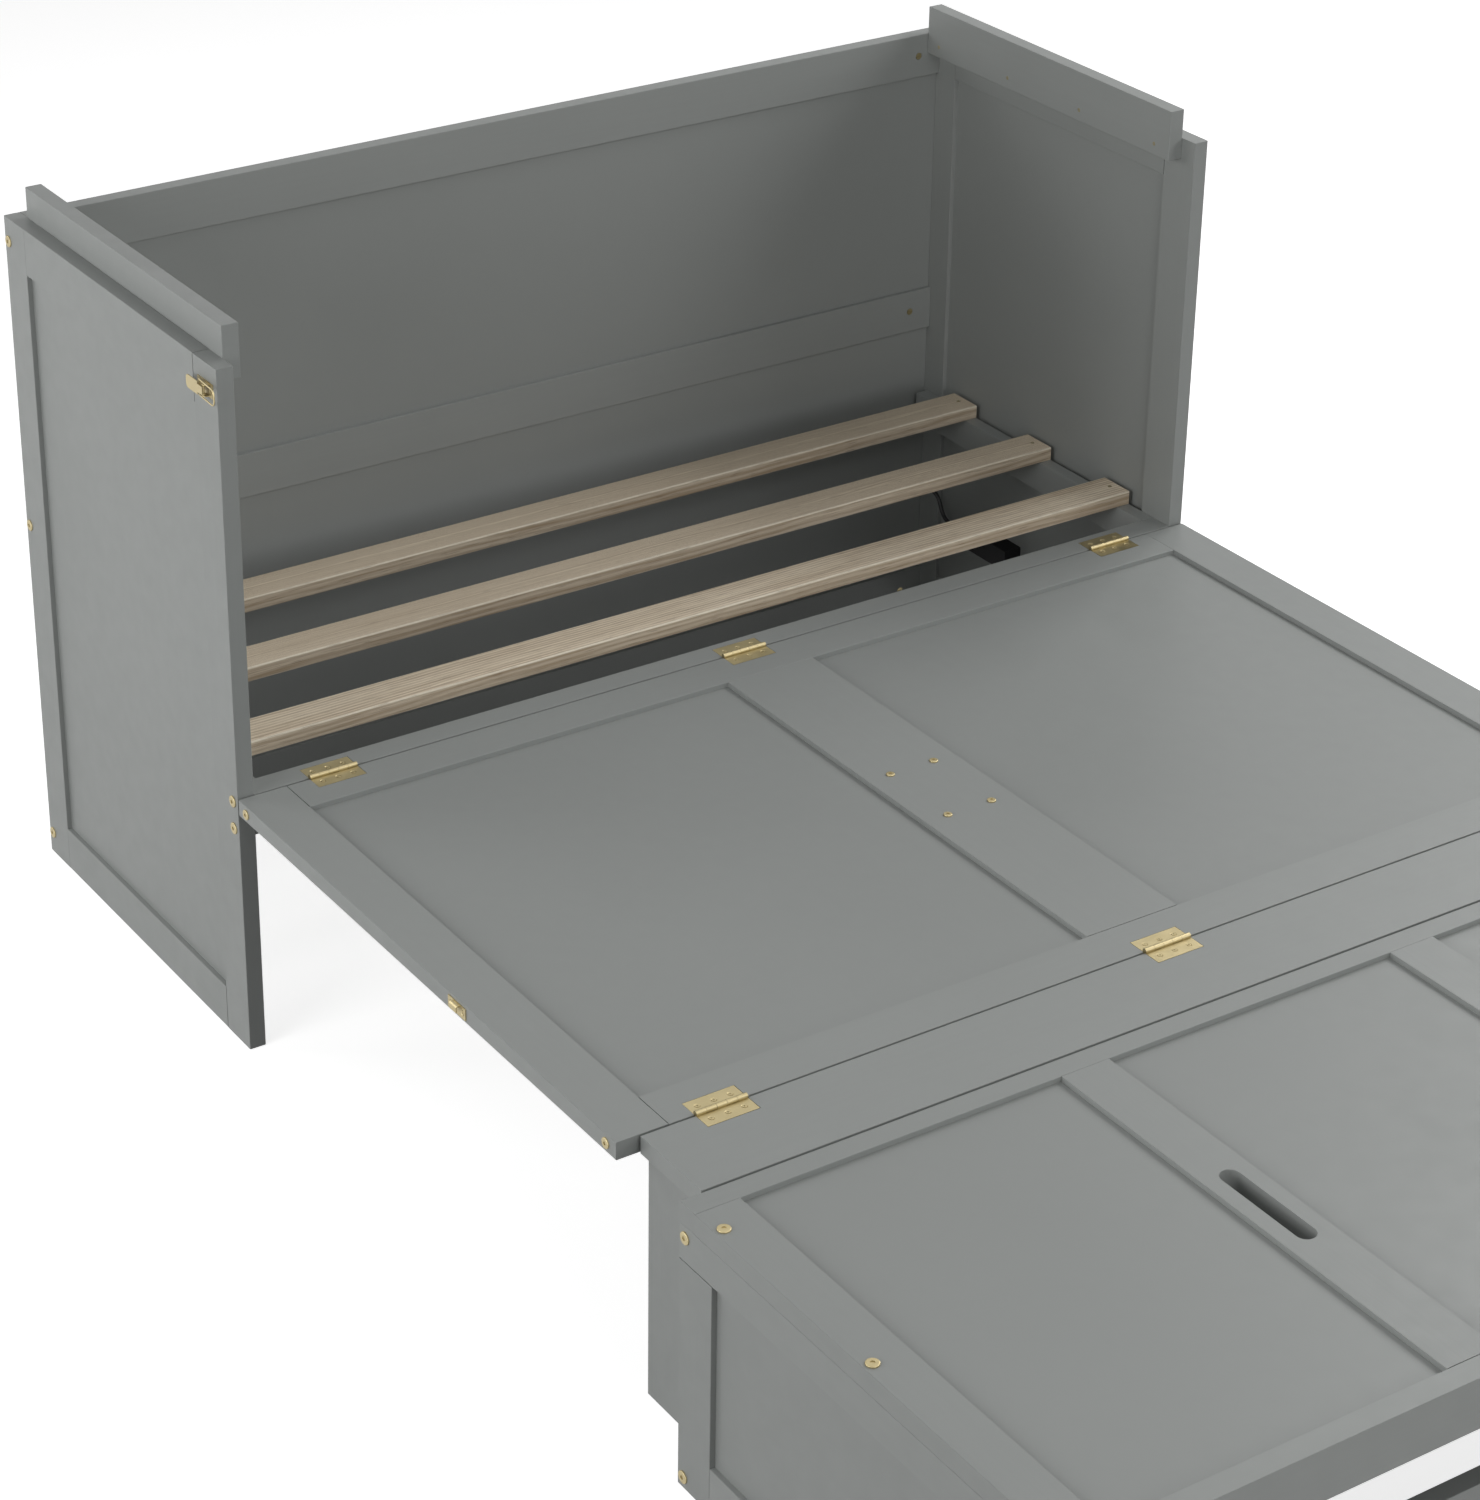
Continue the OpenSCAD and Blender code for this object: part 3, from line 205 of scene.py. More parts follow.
def on_coil(t):
    r = coil_r - coil_step * min(t, coil_turns - t)
    climb = min(max((t - coil_turns / 2 + 0.25) * 2, 0), 1)
    turn = 2 * math.pi * t
    height = coil_step * (1 - math.cos(math.pi * climb)) / 2
    return coil_mid + Vector((-r * math.sin(turn), -r * math.cos(turn), height))


def smooth_through(points, parts):
    """The points with some more between them, on a curve that passes through all of them."""
    padded = [2 * points[0] - points[1], *points, 2 * points[-1] - points[-2]]
    path = []
    for a, b, c, d in zip(padded, padded[1:], padded[2:], padded[3:]):
        for i in range(parts):
            t = i / parts
            square, cube = (2 * a - 5 * b + 4 * c - d) * t ** 2, (3 * b - a - 3 * c + d) * t ** 3
            path.append(0.5 * (2 * b + (c - a) * t + square + cube))
    return path + [points[-1]]


coil = [on_coil(i / points_a_turn) for i in range(points_a_turn * coil_turns + 1)]
into_plug = Vector((-0.020, 0, 0))
cord_end = coil[-1] + into_plug
cord_path = smooth_through(route, 3) + coil + [cord_end]
line = bpy.data.curves.new("mains_lead", "CURVE")
line.dimensions = "3D"
line.bevel_depth = cord_r
line.bevel_resolution = 3
line.use_fill_caps = True
spline = line.splines.new("POLY")
spline.points.add(len(cord_path) - 1)
for point, place in zip(spline.points, cord_path):
    point.co = (*place, 1)
line.materials.append(jacket.material)
lead = bpy.data.objects.new("mains_lead", line)
bpy.context.scene.collection.objects.link(lead)


def add_piece(name, mesh, finish, body):
    """A finished mesh becomes a piece that rides on a body."""
    mesh.name = name
    mesh.materials.clear()
    mesh.materials.append(finish.material)
    piece = bpy.data.objects.new(name, mesh)
    bpy.context.scene.collection.objects.link(piece)
    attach(piece, body)
    return piece


def finished(mesh, name):
    """The working mesh as a mesh of its own, ready for an object."""
    data = bpy.data.meshes.new(name)
    mesh.to_mesh(data)
    mesh.free()
    return data


def swept_round(section, path, sides):
    """A mesh that carries a flat section round a closed path. sides are its two directions at each point."""
    mesh = bmesh.new()
    rings = []
    for place, (u, v) in zip(path, sides):
        rings.append([mesh.verts.new(place + u * x + v * y) for x, y in section])
    n = len(section)
    for a, b in zip(rings, rings[1:] + rings[:1]):
        for k in range(n):
            mesh.faces.new((a[k], a[(k + 1) % n], b[(k + 1) % n], b[k]))
    bmesh.ops.recalc_face_normals(mesh, faces=mesh.faces)
    return finished(mesh, "swept")


# Its strap: a woven hook-and-loop band of nylon, 12 mm wide. It is closed round the coil's turns on one
# side and keeps them together.
strap = Finish("strap_weave", "cord_jacket", Roughness=0.9, Sheen_Weight=0.3)
ribs = strap.place.stretched((900, 900, 2400)).node("ShaderNodeTexVoronoi", {}, {"Scale": 1.0})
strap.set(Base_Color=ribs.between(seen(30, 30, 32), seen(58, 58, 60)))
strap.relief(ribs, 0.0002)
band_in, band_out, band_low, band_high = coil_r - 0.0235, coil_r + 0.0036, 0.0004, 0.0131
half_thick, half_wide = 0.0004, 0.006
band_section = [(-half_thick, -half_wide), (half_thick, -half_wide), (half_thick, half_wide),
                (-half_thick, half_wide)]
loop = []
loop_points, squareness = 40, 0.45
for i in range(loop_points):
    a = 2 * math.pi * i / loop_points
    out, up = (math.copysign(abs(part) ** squareness, part) for part in (math.cos(a), math.sin(a)))
    r = (band_in + band_out) / 2 + (band_out - band_in) / 2 * out
    z = (band_low + band_high) / 2 + (band_high - band_low) / 2 * up
    loop.append(Vector((-r, 0, z)) + Vector((coil_mid.x, coil_mid.y, 0)))
middle = sum(loop, Vector()) / len(loop)
band = swept_round(band_section, loop, [((p - middle).normalized(), Vector((0, 1, 0))) for p in loop])
coil_strap = add_piece("coil_strap", band, strap, "cabinet")

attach(lead, "cabinet")
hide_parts("power_cord", "cord_coil")


# Floor and studio: white paper on the floor, a white room behind it and large soft lights all round. The
# room shows to the camera and in the brass but gives no light, and the paper keeps the bed's shadow.
def sheet_of(name, side):
    mesh = bpy.data.meshes.new(name)
    corners = [(-side, -side, 0), (side, -side, 0), (side, side, 0), (-side, side, 0)]
    mesh.from_pydata(corners, [], [(0, 1, 2, 3)])
    piece = bpy.data.objects.new(name, mesh)
    bpy.context.scene.collection.objects.link(piece)
    return piece


floor = sheet_of("studio_floor", 40)
paper = bpy.data.materials.new("studio_paper")
paper.use_nodes = True
paper.node_tree.nodes.clear()
start = Shade(paper.node_tree, None)


def looked_at(start):
    """1 for a ray from the camera, a mirror or a glass, and 0 for light on its way to the bed."""
    path = start.tree.nodes.new("ShaderNodeLightPath")
    kinds = ("Is Camera Ray", "Is Glossy Ray", "Is Transmission Ray")
    rays = [Shade(start.tree, path.outputs[kind]) for kind in kinds]
    return start.sum("MAXIMUM", rays[0], start.sum("MAXIMUM", rays[1], rays[2]))


grain_of_paper = start.node("ShaderNodeTexNoise", {}, {"Scale": 3.0, "Detail": 3.0})
bounce = start.node("ShaderNodeBsdfDiffuse", {}, {"Color": (0.09, 0.09, 0.09)})
paper_tone = grain_of_paper.between((0.72, 0.72, 0.72), (0.74, 0.74, 0.74))
white = start.node("ShaderNodeBsdfDiffuse", {}, {"Color": paper_tone})
glow = start.node("ShaderNodeEmission", {}, {"Color": (1.0, 1.0, 1.0), "Strength": 0.80})
paper_seen = start.node("ShaderNodeAddShader", {}, {0: white, 1: glow})
paper_mix = start.node("ShaderNodeMixShader", {}, {0: looked_at(start), 1: bounce, 2: paper_seen})
paper_out = paper.node_tree.nodes.new("ShaderNodeOutputMaterial")
plug_in(paper.node_tree, paper_out.inputs["Surface"], paper_mix)
floor.data.materials.append(paper)

world = bpy.data.worlds.new("studio_room")
world.use_nodes = True
world.node_tree.nodes.clear()
room = Shade(world.node_tree, None)
room_back = room.node("ShaderNodeBackground", {}, {"Color": (1.0, 1.0, 1.0), "Strength": looked_at(room)})
world_out = world.node_tree.nodes.new("ShaderNodeOutputWorld")
plug_in(world.node_tree, world_out.inputs["Surface"], room_back)
bpy.context.scene.world = world


bed_middle = Vector((0, 0, 0.35))


def soft_light(name, place, side, power):
    """A square lamp that faces the middle of the bed."""
    data = bpy.data.lights.new(name, "AREA")
    data.shape = "RECTANGLE"
    data.size, data.size_y, data.energy = side, side, power
    lamp = bpy.data.objects.new(name, data)
    lamp.location = place
    lamp.rotation_euler = (bed_middle - Vector(place)).to_track_quat("-Z", "Y").to_euler()
    bpy.context.scene.collection.objects.link(lamp)


for name, place, side, power in (
        ("left_low", (-4.5, 0.7, 0.9), 1.8, 24), ("left_mid", (-4.2, -0.4, 1.9), 2.2, 59),
        ("left_behind", (-3.0, 3.2, 1.8), 2.0, 36), ("behind_top", (0, 2.8, 3.6), 2.2, 11),
        ("right_high", (3.4, 0.8, 3.0), 2.2, 92), ("right_foot", (3.2, -2.8, 2.6), 2.2, 42),
        ("foot_low", (-0.8, -4.4, 1.0), 2.0, 37), ("over_foot", (0, -1.5, 2.4), 1.0, 8),
        ("foot_above", (-0.6, -2.4, 2.0), 1.4, 4)):
    soft_light(name, place, side, power)


# Side frames: two stiles and two rails of solid wood round a panel, sprayed grey with a satin paint.
# Each board keeps its own grain under the paint, and its long edges are eased.
def copied(node):
    """The CAD mesh of a node with its loose triangles joined, to work on."""
    mesh = bmesh.new()
    mesh.from_mesh(cad[node].data)
    bmesh.ops.remove_doubles(mesh, verts=mesh.verts, dist=1e-5)
    bmesh.ops.dissolve_limit(mesh, angle_limit=0.002, verts=mesh.verts, edges=mesh.edges)
    return mesh


def solids(mesh):
    """The separate solids of a mesh, each a list of vertices."""
    left, found = set(mesh.verts), []
    while left:
        first = left.pop()
        group, edge_of = [first], [first]
        while edge_of:
            for edge in edge_of.pop().link_edges:
                for vert in edge.verts:
                    if vert in left:
                        left.discard(vert)
                        group.append(vert)
                        edge_of.append(vert)
        found.append(group)
    return sorted(found, key=lambda g: tuple(round(c, 4) for c in min(tuple(v.co) for v in g)))


def extent(group):
    return (Vector([min(v.co[i] for v in group) for i in range(3)]),
            Vector([max(v.co[i] for v in group) for i in range(3)]))


seam, arris = 0.00035, 0.0007


def dressed(name, finish, *node_names, crease=50, boards=False, eased=0.0):
    """A piece shaped like some CAD nodes of one body, with soft edges. Each board carries its own grain."""
    joined = bmesh.new()
    for node in node_names:
        mesh = copied(node)
        for edge in mesh.edges:
            edge.smooth = len(edge.link_faces) == 2 and edge.calc_face_angle(3) < math.radians(crease)
        for face in mesh.faces:
            face.smooth = True
        if boards:
            grain = mesh.verts.layers.float_vector.new("grain")
            tone = mesh.verts.layers.float.new("tone")
            for number, group in enumerate(solids(mesh)):
                low, high = extent(group)
                order = sorted(range(3), key=lambda i: low[i] - high[i])
                along, middle = order[0], (low[order[0]] + high[order[0]]) / 2
                luck = random.Random(f"{node} {number}")
                start_at = [luck.uniform(0, 7) for _ in range(3)]
                board_tone = luck.uniform(0, 1)
                for vert in group:
                    vert[grain] = [vert.co[i] - low[i] + s for i, s in zip(order, start_at)]
                    vert[tone] = board_tone
                    vert.co[along] -= (vert.co[along] - middle) * 2 * seam / (high[along] - low[along])
        part = finished(mesh, "part")
        joined.from_mesh(part)
        bpy.data.meshes.remove(part)
    rough = bpy.data.objects.new("rough", finished(joined, name))
    bpy.context.scene.collection.objects.link(rough)
    if eased:
        bevel = rough.modifiers.new("eased arris", "BEVEL")
        bevel.width, bevel.segments, bevel.limit_method = eased, 2, "ANGLE"
        bevel.angle_limit = math.radians(crease)
    edges = rough.modifiers.new("soft edges", "WEIGHTED_NORMAL")
    edges.weight, edges.keep_sharp = 100, True
    made = bpy.data.meshes.new_from_object(rough.evaluated_get(bpy.context.evaluated_depsgraph_get()))
    bpy.data.objects.remove(rough)
    piece = add_piece(name, made, finish, cad[node_names[0]]["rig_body"])
    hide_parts(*node_names)
    return piece


def satin_paint(name, grain_depth):
    """Grey satin paint: a faint cloudiness, the spray's fine stipple, and the wood's grain under it."""
    paint = Finish(name, "grey_paint", Specular_IOR_Level=0.35)
    grain, tone = paint.carried("grain"), paint.carried("tone", "Fac")
    cloud = grain.noise(2.5, 3)
    fibres = grain.stretched((7, 160, 160)).noise(1.0, 3, 0.6)
    shade = cloud * 0.5 + tone * 0.3 + fibres * (0.2 * grain_depth)
    paint.set(Base_Color=shade.eased(0.15, 0.85).between(seen(146, 149, 147), seen(153, 156, 154)),
              Roughness=(cloud * 0.5 + grain.noise(40, 2) * 0.5).eased(0.3, 0.7, 0.40, 0.52))
    stipple = grain.noise(700, 2)
    paint.relief(stipple * 0.25 + fibres * grain_depth, 0.00012)
    return paint


board_paint = satin_paint("grey_board_paint", 1.0)
panel_paint = satin_paint("grey_panel_paint", 0.15)
dressed("cabinet_side_boards", board_paint, "left_side_frame", "right_side_frame", boards=True, eased=arris)
dressed("cabinet_side_infill", panel_paint, "left_side_panel", "right_side_panel", boards=True)

# Cabinet back: three long rails with two thin panels let into them. It is painted like the sides and
# bolted between them.
dressed("cabinet_back_boards", board_paint, "back_rails", boards=True, eased=arris)
dressed("cabinet_back_infill", panel_paint, "back_panels", boards=True)

# Front rail, cleats and ledgers: solid boards. The cleats stand above the sides and keep the foot box
# from shifting when the bed is shut, and the ledgers carry the slats.
dressed("cabinet_front_board", board_paint, "front_rail", boards=True, eased=arris)
dressed("cleat_boards", board_paint, "left_cleat", "right_cleat", boards=True, eased=arris)
dressed("ledger_boards", board_paint, "left_ledger", "right_ledger", boards=True, eased=arris)


# Slats: three bare boards of pale softwood, planed, with rounded edges. Every face below the top is
# painted darker as shade, and the top front edge carries a painted highlight. Each is screwed down on
# the two ledgers, with its screws sunk into the wood.
def new_tree(name, inputs):
    """A tree of geometry nodes with named inputs. It returns the tree, its inputs by name, and its start."""
    tree = bpy.data.node_groups.new(name, "GeometryNodeTree")
    for label, kind in inputs:
        tree.interface.new_socket(label, in_out="INPUT", socket_type=kind)
    tree.interface.new_socket("Geometry", in_out="OUTPUT", socket_type="NodeSocketGeometry")
    group = tree.nodes.new("NodeGroupInput")
    return tree, {label: Shade(tree, group.outputs[label]) for label, _ in inputs}, Shade(tree, None)


def close_tree(tree, geometry):
    plug_in(tree, tree.nodes.new("NodeGroupOutput").inputs[0], geometry)


def grown(mesh, tree, values):
    """The plain mesh that a tree makes from a starting mesh, with its inputs set by their identifiers."""
    seed = bpy.data.objects.new("seed", mesh)
    modifier = seed.modifiers.new("made", "NODES")
    modifier.node_group = tree
    for socket in tree.interface.items_tree:
        if socket.item_type == "SOCKET" and socket.in_out == "INPUT" and socket.name in values:
            modifier[socket.identifier] = values[socket.name]
    bpy.context.scene.collection.objects.link(seed)
    made = bpy.data.meshes.new_from_object(seed.evaluated_get(bpy.context.evaluated_depsgraph_get()))
    bpy.data.objects.remove(seed)
    return made


shortest_screw, roundness, head_reach = 0.010, 0.7, 0.003


def heads(node):
    """Each fastener of a CAD node: the middle of its head's end, the way it faces, its head, its length.

    Its nuts are left out: they are short, or not as thick as they are wide."""
    mesh = copied(node)
    found = []
    for group in solids(mesh):
        low, high = extent(group)
        size = high - low
        way = max(range(3), key=lambda i: size[i])
        thin, wider = sorted(size)[:2]
        if size[way] < shortest_screw or thin < roundness * wider:
            continue
        middle = (low + high) / 2
        wide = [max((Vector([v.co[i] - middle[i] if i != way else 0 for i in range(3)])).length
                    for v in group if abs(v.co[way] - end[way]) < head_reach) for end in (low, high)]
        up = wide[1] > wide[0]
        top = middle.copy()
        top[way] = (high if up else low)[way]
        facing = Vector([0, 0, 0])
        facing[way] = 1 if up else -1
        found.append((top, facing, 2 * max(wide), size[way]))
    mesh.free()
    return found


slat_low, slat_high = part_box("slat_front")
slat_size = slat_high - slat_low
slat_mid = (slat_low + slat_high) / 2
slat_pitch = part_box("slat_middle")[0].y - slat_low.y
wood = Finish("pale_slat_wood", "pale_wood", Specular_IOR_Level=0.3)
number = wood.carried("slat", "Fac")
shift = wood.place.node("ShaderNodeCombineXYZ", {}, {"X": number * 3.7, "Y": number * 0.31,
                                                     "Z": number * 0.17})
in_slat = wood.place.moved(shift)
bend = in_slat.stretched((1.6, 6, 6)).noise(1.0, 3) - 0.5
split = in_slat.node("ShaderNodeSeparateXYZ", {}, {0: in_slat})
bow, heart_off, ring_gap = 0.030, 0.06, 0.0045
out_y = split.node("ShaderNodeSeparateXYZ", {}, {0: in_slat}, out=1) + bend * bow
out_z = split.node("ShaderNodeSeparateXYZ", {}, {0: in_slat}, out=2) + heart_off
heart = split.sum("SQRT", out_y * out_y + out_z * out_z)
rings = split.sum("SINE", heart * (2 * math.pi / ring_gap))
fibres = in_slat.stretched((9, 420, 420)).noise(1.0, 4, 0.65)
pores = in_slat.stretched((30, 1500, 1500)).noise(1.0, 1)
streak = in_slat.stretched((2.2, 60, 60)).noise(1.0, 2)
figure = rings * 0.10 + fibres * 0.60 + streak * 0.40
light_wood = figure.eased(0.30, 0.75).between(seen(250, 236, 213), seen(196, 174, 146))
dark = pores.eased(0.60, 0.70) * 0.55
below_top = slat_high.z - wood.place.node("ShaderNodeSeparateXYZ", {}, {0: wood.place}, out=2)
along_bed = wood.place.node("ShaderNodeSeparateXYZ", {}, {0: wood.place}, out=1)
clear = 0.01
from_edge = along_bed.sum("MODULO", along_bed - (slat_low.y - clear), slat_pitch) - clear
# Painted shade: every face below the slat's top turns towards a dark brown, standing in for the shade on its
# sides.
painted_side_shade = below_top.eased(0.0006, 0.0016, 0.0, 0.32)
wood_with_painted_light = painted_side_shade.between(light_wood, seen(126, 104, 76))
# Painted highlight: a pale cream band along each slat's top front edge, where light catches the arris.
painted_arris_highlight = (below_top + from_edge).eased(0.0012, 0.0026, 0.75, 0.0)
wood_with_painted_light = painted_arris_highlight.between(wood_with_painted_light, seen(252, 243, 224))
wood.set(Base_Color=dark.between(wood_with_painted_light, seen(122, 98, 72)), Roughness=fibres.eased(0.3, 0.7, 0.52, 0.68))
wood.relief(fibres * 0.7 + pores * 0.3, 0.00018)

tree, put, begin = new_tree("slats", [("Screws", "NodeSocketGeometry"), ("Slats", "NodeSocketInt"),
                                      ("Pitch", "NodeSocketFloat"), ("Length", "NodeSocketFloat"),
                                      ("Width", "NodeSocketFloat"), ("Thickness", "NodeSocketFloat"),
                                      ("Rounding", "NodeSocketFloat"), ("First", "NodeSocketVector"),
                                      ("Hole", "NodeSocketFloat"), ("Sink", "NodeSocketFloat"),
                                      ("Finish", "NodeSocketMaterial")])
half_slat = begin.node("ShaderNodeCombineXYZ", {}, {"X": put["Length"] / 2})
other_half = begin.node("ShaderNodeCombineXYZ", {}, {"X": put["Length"] / -2})
grain_line = begin.node("GeometryNodeCurvePrimitiveLine", {}, {"Start": other_half, "End": half_slat})
edge_outline = begin.node("GeometryNodeCurvePrimitiveQuadrilateral", {},
                          {"Width": put["Width"], "Height": put["Thickness"]})
edge_outline = begin.node("GeometryNodeFilletCurve", {"mode": "POLY"},
                          {"Curve": edge_outline, "Radius": put["Rounding"], "Count": 4})
one_slat = begin.node("GeometryNodeCurveToMesh", {}, {"Curve": grain_line, "Profile Curve": edge_outline,
                                                      "Fill Caps": True})
step = begin.node("ShaderNodeCombineXYZ", {}, {"Y": put["Pitch"]})
row = begin.node("GeometryNodeMeshLine", {}, {"Count": put["Slats"], "Start Location": put["First"],
                                              "Offset": step})
counted = begin.node("GeometryNodeStoreNamedAttribute", {"data_type": "FLOAT", "domain": "POINT"},
                     {"Geometry": row, "Name": "slat", "Value": begin.node("GeometryNodeInputIndex")})
laid = begin.node("GeometryNodeInstanceOnPoints", {}, {"Points": counted, "Instance": one_slat})
real = begin.node("GeometryNodeRealizeInstances", {}, {"Geometry": laid})
sink = begin.node("GeometryNodeMeshCone", {}, {"Vertices": 28, "Radius Top": put["Hole"],
                                               "Radius Bottom": 0.0012, "Depth": put["Sink"]})
sinks = begin.node("GeometryNodeInstanceOnPoints", {}, {"Points": put["Screws"], "Instance": sink})
sinks = begin.node("GeometryNodeRealizeInstances", {}, {"Geometry": sinks})
bored = begin.node("GeometryNodeMeshBoolean", {"operation": "DIFFERENCE", "solver": "EXACT"},
                   {0: real, 1: sinks})
bored = begin.node("GeometryNodeRealizeInstances", {}, {"Geometry": bored})
close_tree(tree, begin.node("GeometryNodeSetMaterial", {}, {"Geometry": bored, "Material": put["Finish"]}))
slat_heads = [(top, head) for top, _, head, _ in heads("slat_screws")]
screw_places = bpy.data.meshes.new("slat_screw_places")
sunk = 0.0026
screw_places.from_pydata([top - Vector((0, 0, sunk - 0.0003)) for top, _ in slat_heads], [], [])
slats = add_piece("slats", grown(screw_places, tree, {
    "Hole": slat_heads[0][1] / 2 + 0.0006, "Sink": sunk,
    "Slats": 3, "Pitch": slat_pitch, "Length": slat_size.x, "Width": slat_size.y, "Thickness": slat_size.z,
    "Rounding": 0.0016, "First": slat_mid, "Finish": wood.material}), wood, "cabinet")
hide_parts("slat_front", "slat_middle", "slat_back")

# Deck: two long stiles and two rails round two panels, with a wide stile in the middle that takes the
# leg's bolts. It is painted like the cabinet, and its panels are let into grooves.
dressed("deck_boards", board_paint, "deck_stiles", "deck_rails", "deck_centre_stile", boards=True,
        eased=arris)
dressed("deck_infill", panel_paint, "deck_panels", boards=True)

# Centre leg: a square post of painted wood under the middle of the deck. It swings on a pin through a
# folded bracket of coated steel.
dressed("centre_post", board_paint, "centre_leg", boards=True, eased=arris)
coated = Finish("coated_steel", "bracket_steel", Metallic=0.6)
speck = coated.place.noise(900, 3)
coated.set(Base_Color=speck.between(seen(62, 63, 65), seen(92, 93, 95)),
           Roughness=speck.eased(0.3, 0.7, 0.45, 0.6))
coated.relief(speck, 0.00006)
dressed("leg_bracket_steel", coated, "leg_bracket", crease=35)

# Foot stand: the narrow foot board with two board legs under it and a cross board between them, all of
# painted wood. It is hinged to the deck's end.
dressed("foot_stand_boards", board_paint, "foot_board", "left_foot_leg", "right_foot_leg", "foot_cross_board",
        boards=True, eased=arris)

# Foot box: a loose box of panelled frames. Its top is framed by flat stiles and a deep rail on edge at the
# foot, and two inner stiles have a slot for each hand.
dressed("box_top_boards", board_paint, "box_top_frame", "box_centre_stiles", "box_foot_rail", boards=True,
        eased=arris)
dressed("box_top_infill", panel_paint, "box_top_panels", boards=True)
dressed("box_side_boards", board_paint, "box_left_frame", "box_right_frame", boards=True, eased=arris)
dressed("box_back_boards", board_paint, "box_back_rails", "box_cross_board", boards=True, eased=arris)
dressed("box_side_infill", panel_paint, "box_side_panels", "box_back_panel", boards=True)

# Butt hinges: stamped leaves of brass-plated steel with rolled knuckles round a pin. The leaves are let
# into the boards and screwed down.
brass = Finish("satin_brass", "brass", Metallic=1.0)
brushed = brass.place.stretched((1, 60, 60)).noise(30, 3)
haze = brass.place.noise(45, 3)
brass.set(Base_Color=haze.between(seen(166, 153, 116), seen(181, 168, 131)),
          Roughness=(brushed * 0.6 + haze * 0.4).eased(0.3, 0.7, 0.34, 0.50))
brass.relief(brushed, 0.00002)
dressed("cabinet_hinges", brass, "cabinet_hinge_leaves", crease=35)
dressed("cabinet_pins", brass, "cabinet_hinge_pins", crease=35)
dressed("deck_hinges", brass, "deck_hinge_leaves", crease=35)
dressed("foot_pins", brass, "foot_hinge_pins", crease=35)
dressed("foot_hinges", brass, "foot_hinge_leaves", crease=35)

# Toggle latch: a base with two ears, a thumb lever and a bent wire bail, all brass-plated, that pull on a
# hooked catch at the deck's left edge.
dressed("latch_plate", brass, "latch_base", crease=35)
dressed("thumb_lever", brass, "latch_lever", crease=35)
dressed("wire_bail", brass, "latch_bail", crease=35)
dressed("deck_hook", brass, "deck_catch", crease=35)

# Barrel nuts: short turned cylinders, plated like brass and pushed into holes near the ends of the
# cabinet's rails. Each has a cross hole that takes a connector bolt.
dressed("rail_barrel_nuts", brass, "barrel_nuts", crease=35)


# Screws and bolts: countersunk cross-head screws, and connector bolts with a low domed head and a hexagon
# socket. They are turned, plated like brass and driven into the boards, each stopped at its own angle.
def turned(outline, steps=40):
    """A solid turned round z from an outline of (radius, height) points that begins and ends on the axis."""
    mesh = bmesh.new()
    rings = []
    for r, z in outline:
        count = 1 if r == 0 else steps
        angles = [2 * math.pi * k / steps for k in range(count)]
        rings.append([mesh.verts.new((r * math.cos(a), r * math.sin(a), z)) for a in angles])
    for a, b in zip(rings, rings[1:]):
        for k in range(steps):
            corners = [a[k % len(a)], a[(k + 1) % len(a)], b[(k + 1) % len(b)], b[k % len(b)]]
            unique = [c for i, c in enumerate(corners) if c not in corners[:i]]
            if len(unique) > 2:
                mesh.faces.new(unique)
    bmesh.ops.recalc_face_normals(mesh, faces=mesh.faces)
    for face in mesh.faces:
        face.smooth = True
    return finished(mesh, "turned")


def hollowed(body, cutter):
    """A solid less another, as a hidden template for the tree to place."""
    a, b = (bpy.data.objects.new("template", m) for m in (body, cutter))
    for piece in (a, b):
        bpy.context.scene.collection.objects.link(piece)
    cut = a.modifiers.new("recess", "BOOLEAN")
    cut.object, cut.operation, cut.solver = b, "DIFFERENCE", "EXACT"
    made = bpy.data.meshes.new_from_object(a.evaluated_get(bpy.context.evaluated_depsgraph_get()))
    bpy.data.objects.remove(b)
    a.modifiers.clear()
    made.set_sharp_from_angle(angle=math.radians(32))
    a.data = made
    a.hide_render = a.hide_viewport = True
    return a


def cross_recess(width, length, depth):
    """A plus-shaped wedge that narrows downwards, the shape of a cross driver's tip."""
    mesh = bmesh.new()
    rings = []
    for arm, half, z in ((length / 2, width / 2, depth), (length * 0.175, width * 0.35, -depth)):
        corners = [(arm, -half), (arm, half), (half, half)]
        rings.append([])
        for _ in range(4):
            rings[-1] += [mesh.verts.new((x, y, z)) for x, y in corners]
            corners = [(-y, x) for x, y in corners]
    upper, lower = rings
    for k in range(12):
        mesh.faces.new((upper[k], upper[(k + 1) % 12], lower[(k + 1) % 12], lower[k]))
    mesh.faces.new(upper)
    mesh.faces.new(lower)
    bmesh.ops.recalc_face_normals(mesh, faces=mesh.faces)
    return finished(mesh, "cross")


def hexagon_recess(across, top, depth):
    corner, above = across / math.sqrt(3), top + 0.001
    return turned([(0, above), (corner, above), (corner, top - depth), (0, top - depth * 1.2)], 6)


def screw_template(head, shank, length):
    r, s = head / 2, shank / 2
    sink = (head - shank) * 0.4
    proud, groove = 0.00015, 0.0006
    outline = [(0, proud), (r * 0.72, proud), (r * 0.76, 0), (r * 0.76, -groove), (s, -sink),
               (s, -length + 0.002), (0, -length)]
    return hollowed(turned(outline), cross_recess(head * 0.12, head * 0.5, 0.0011))


nut_bolt_head, nut_at, nut_r, nut_h = 0.011, 0.027, 0.0055, 0.005


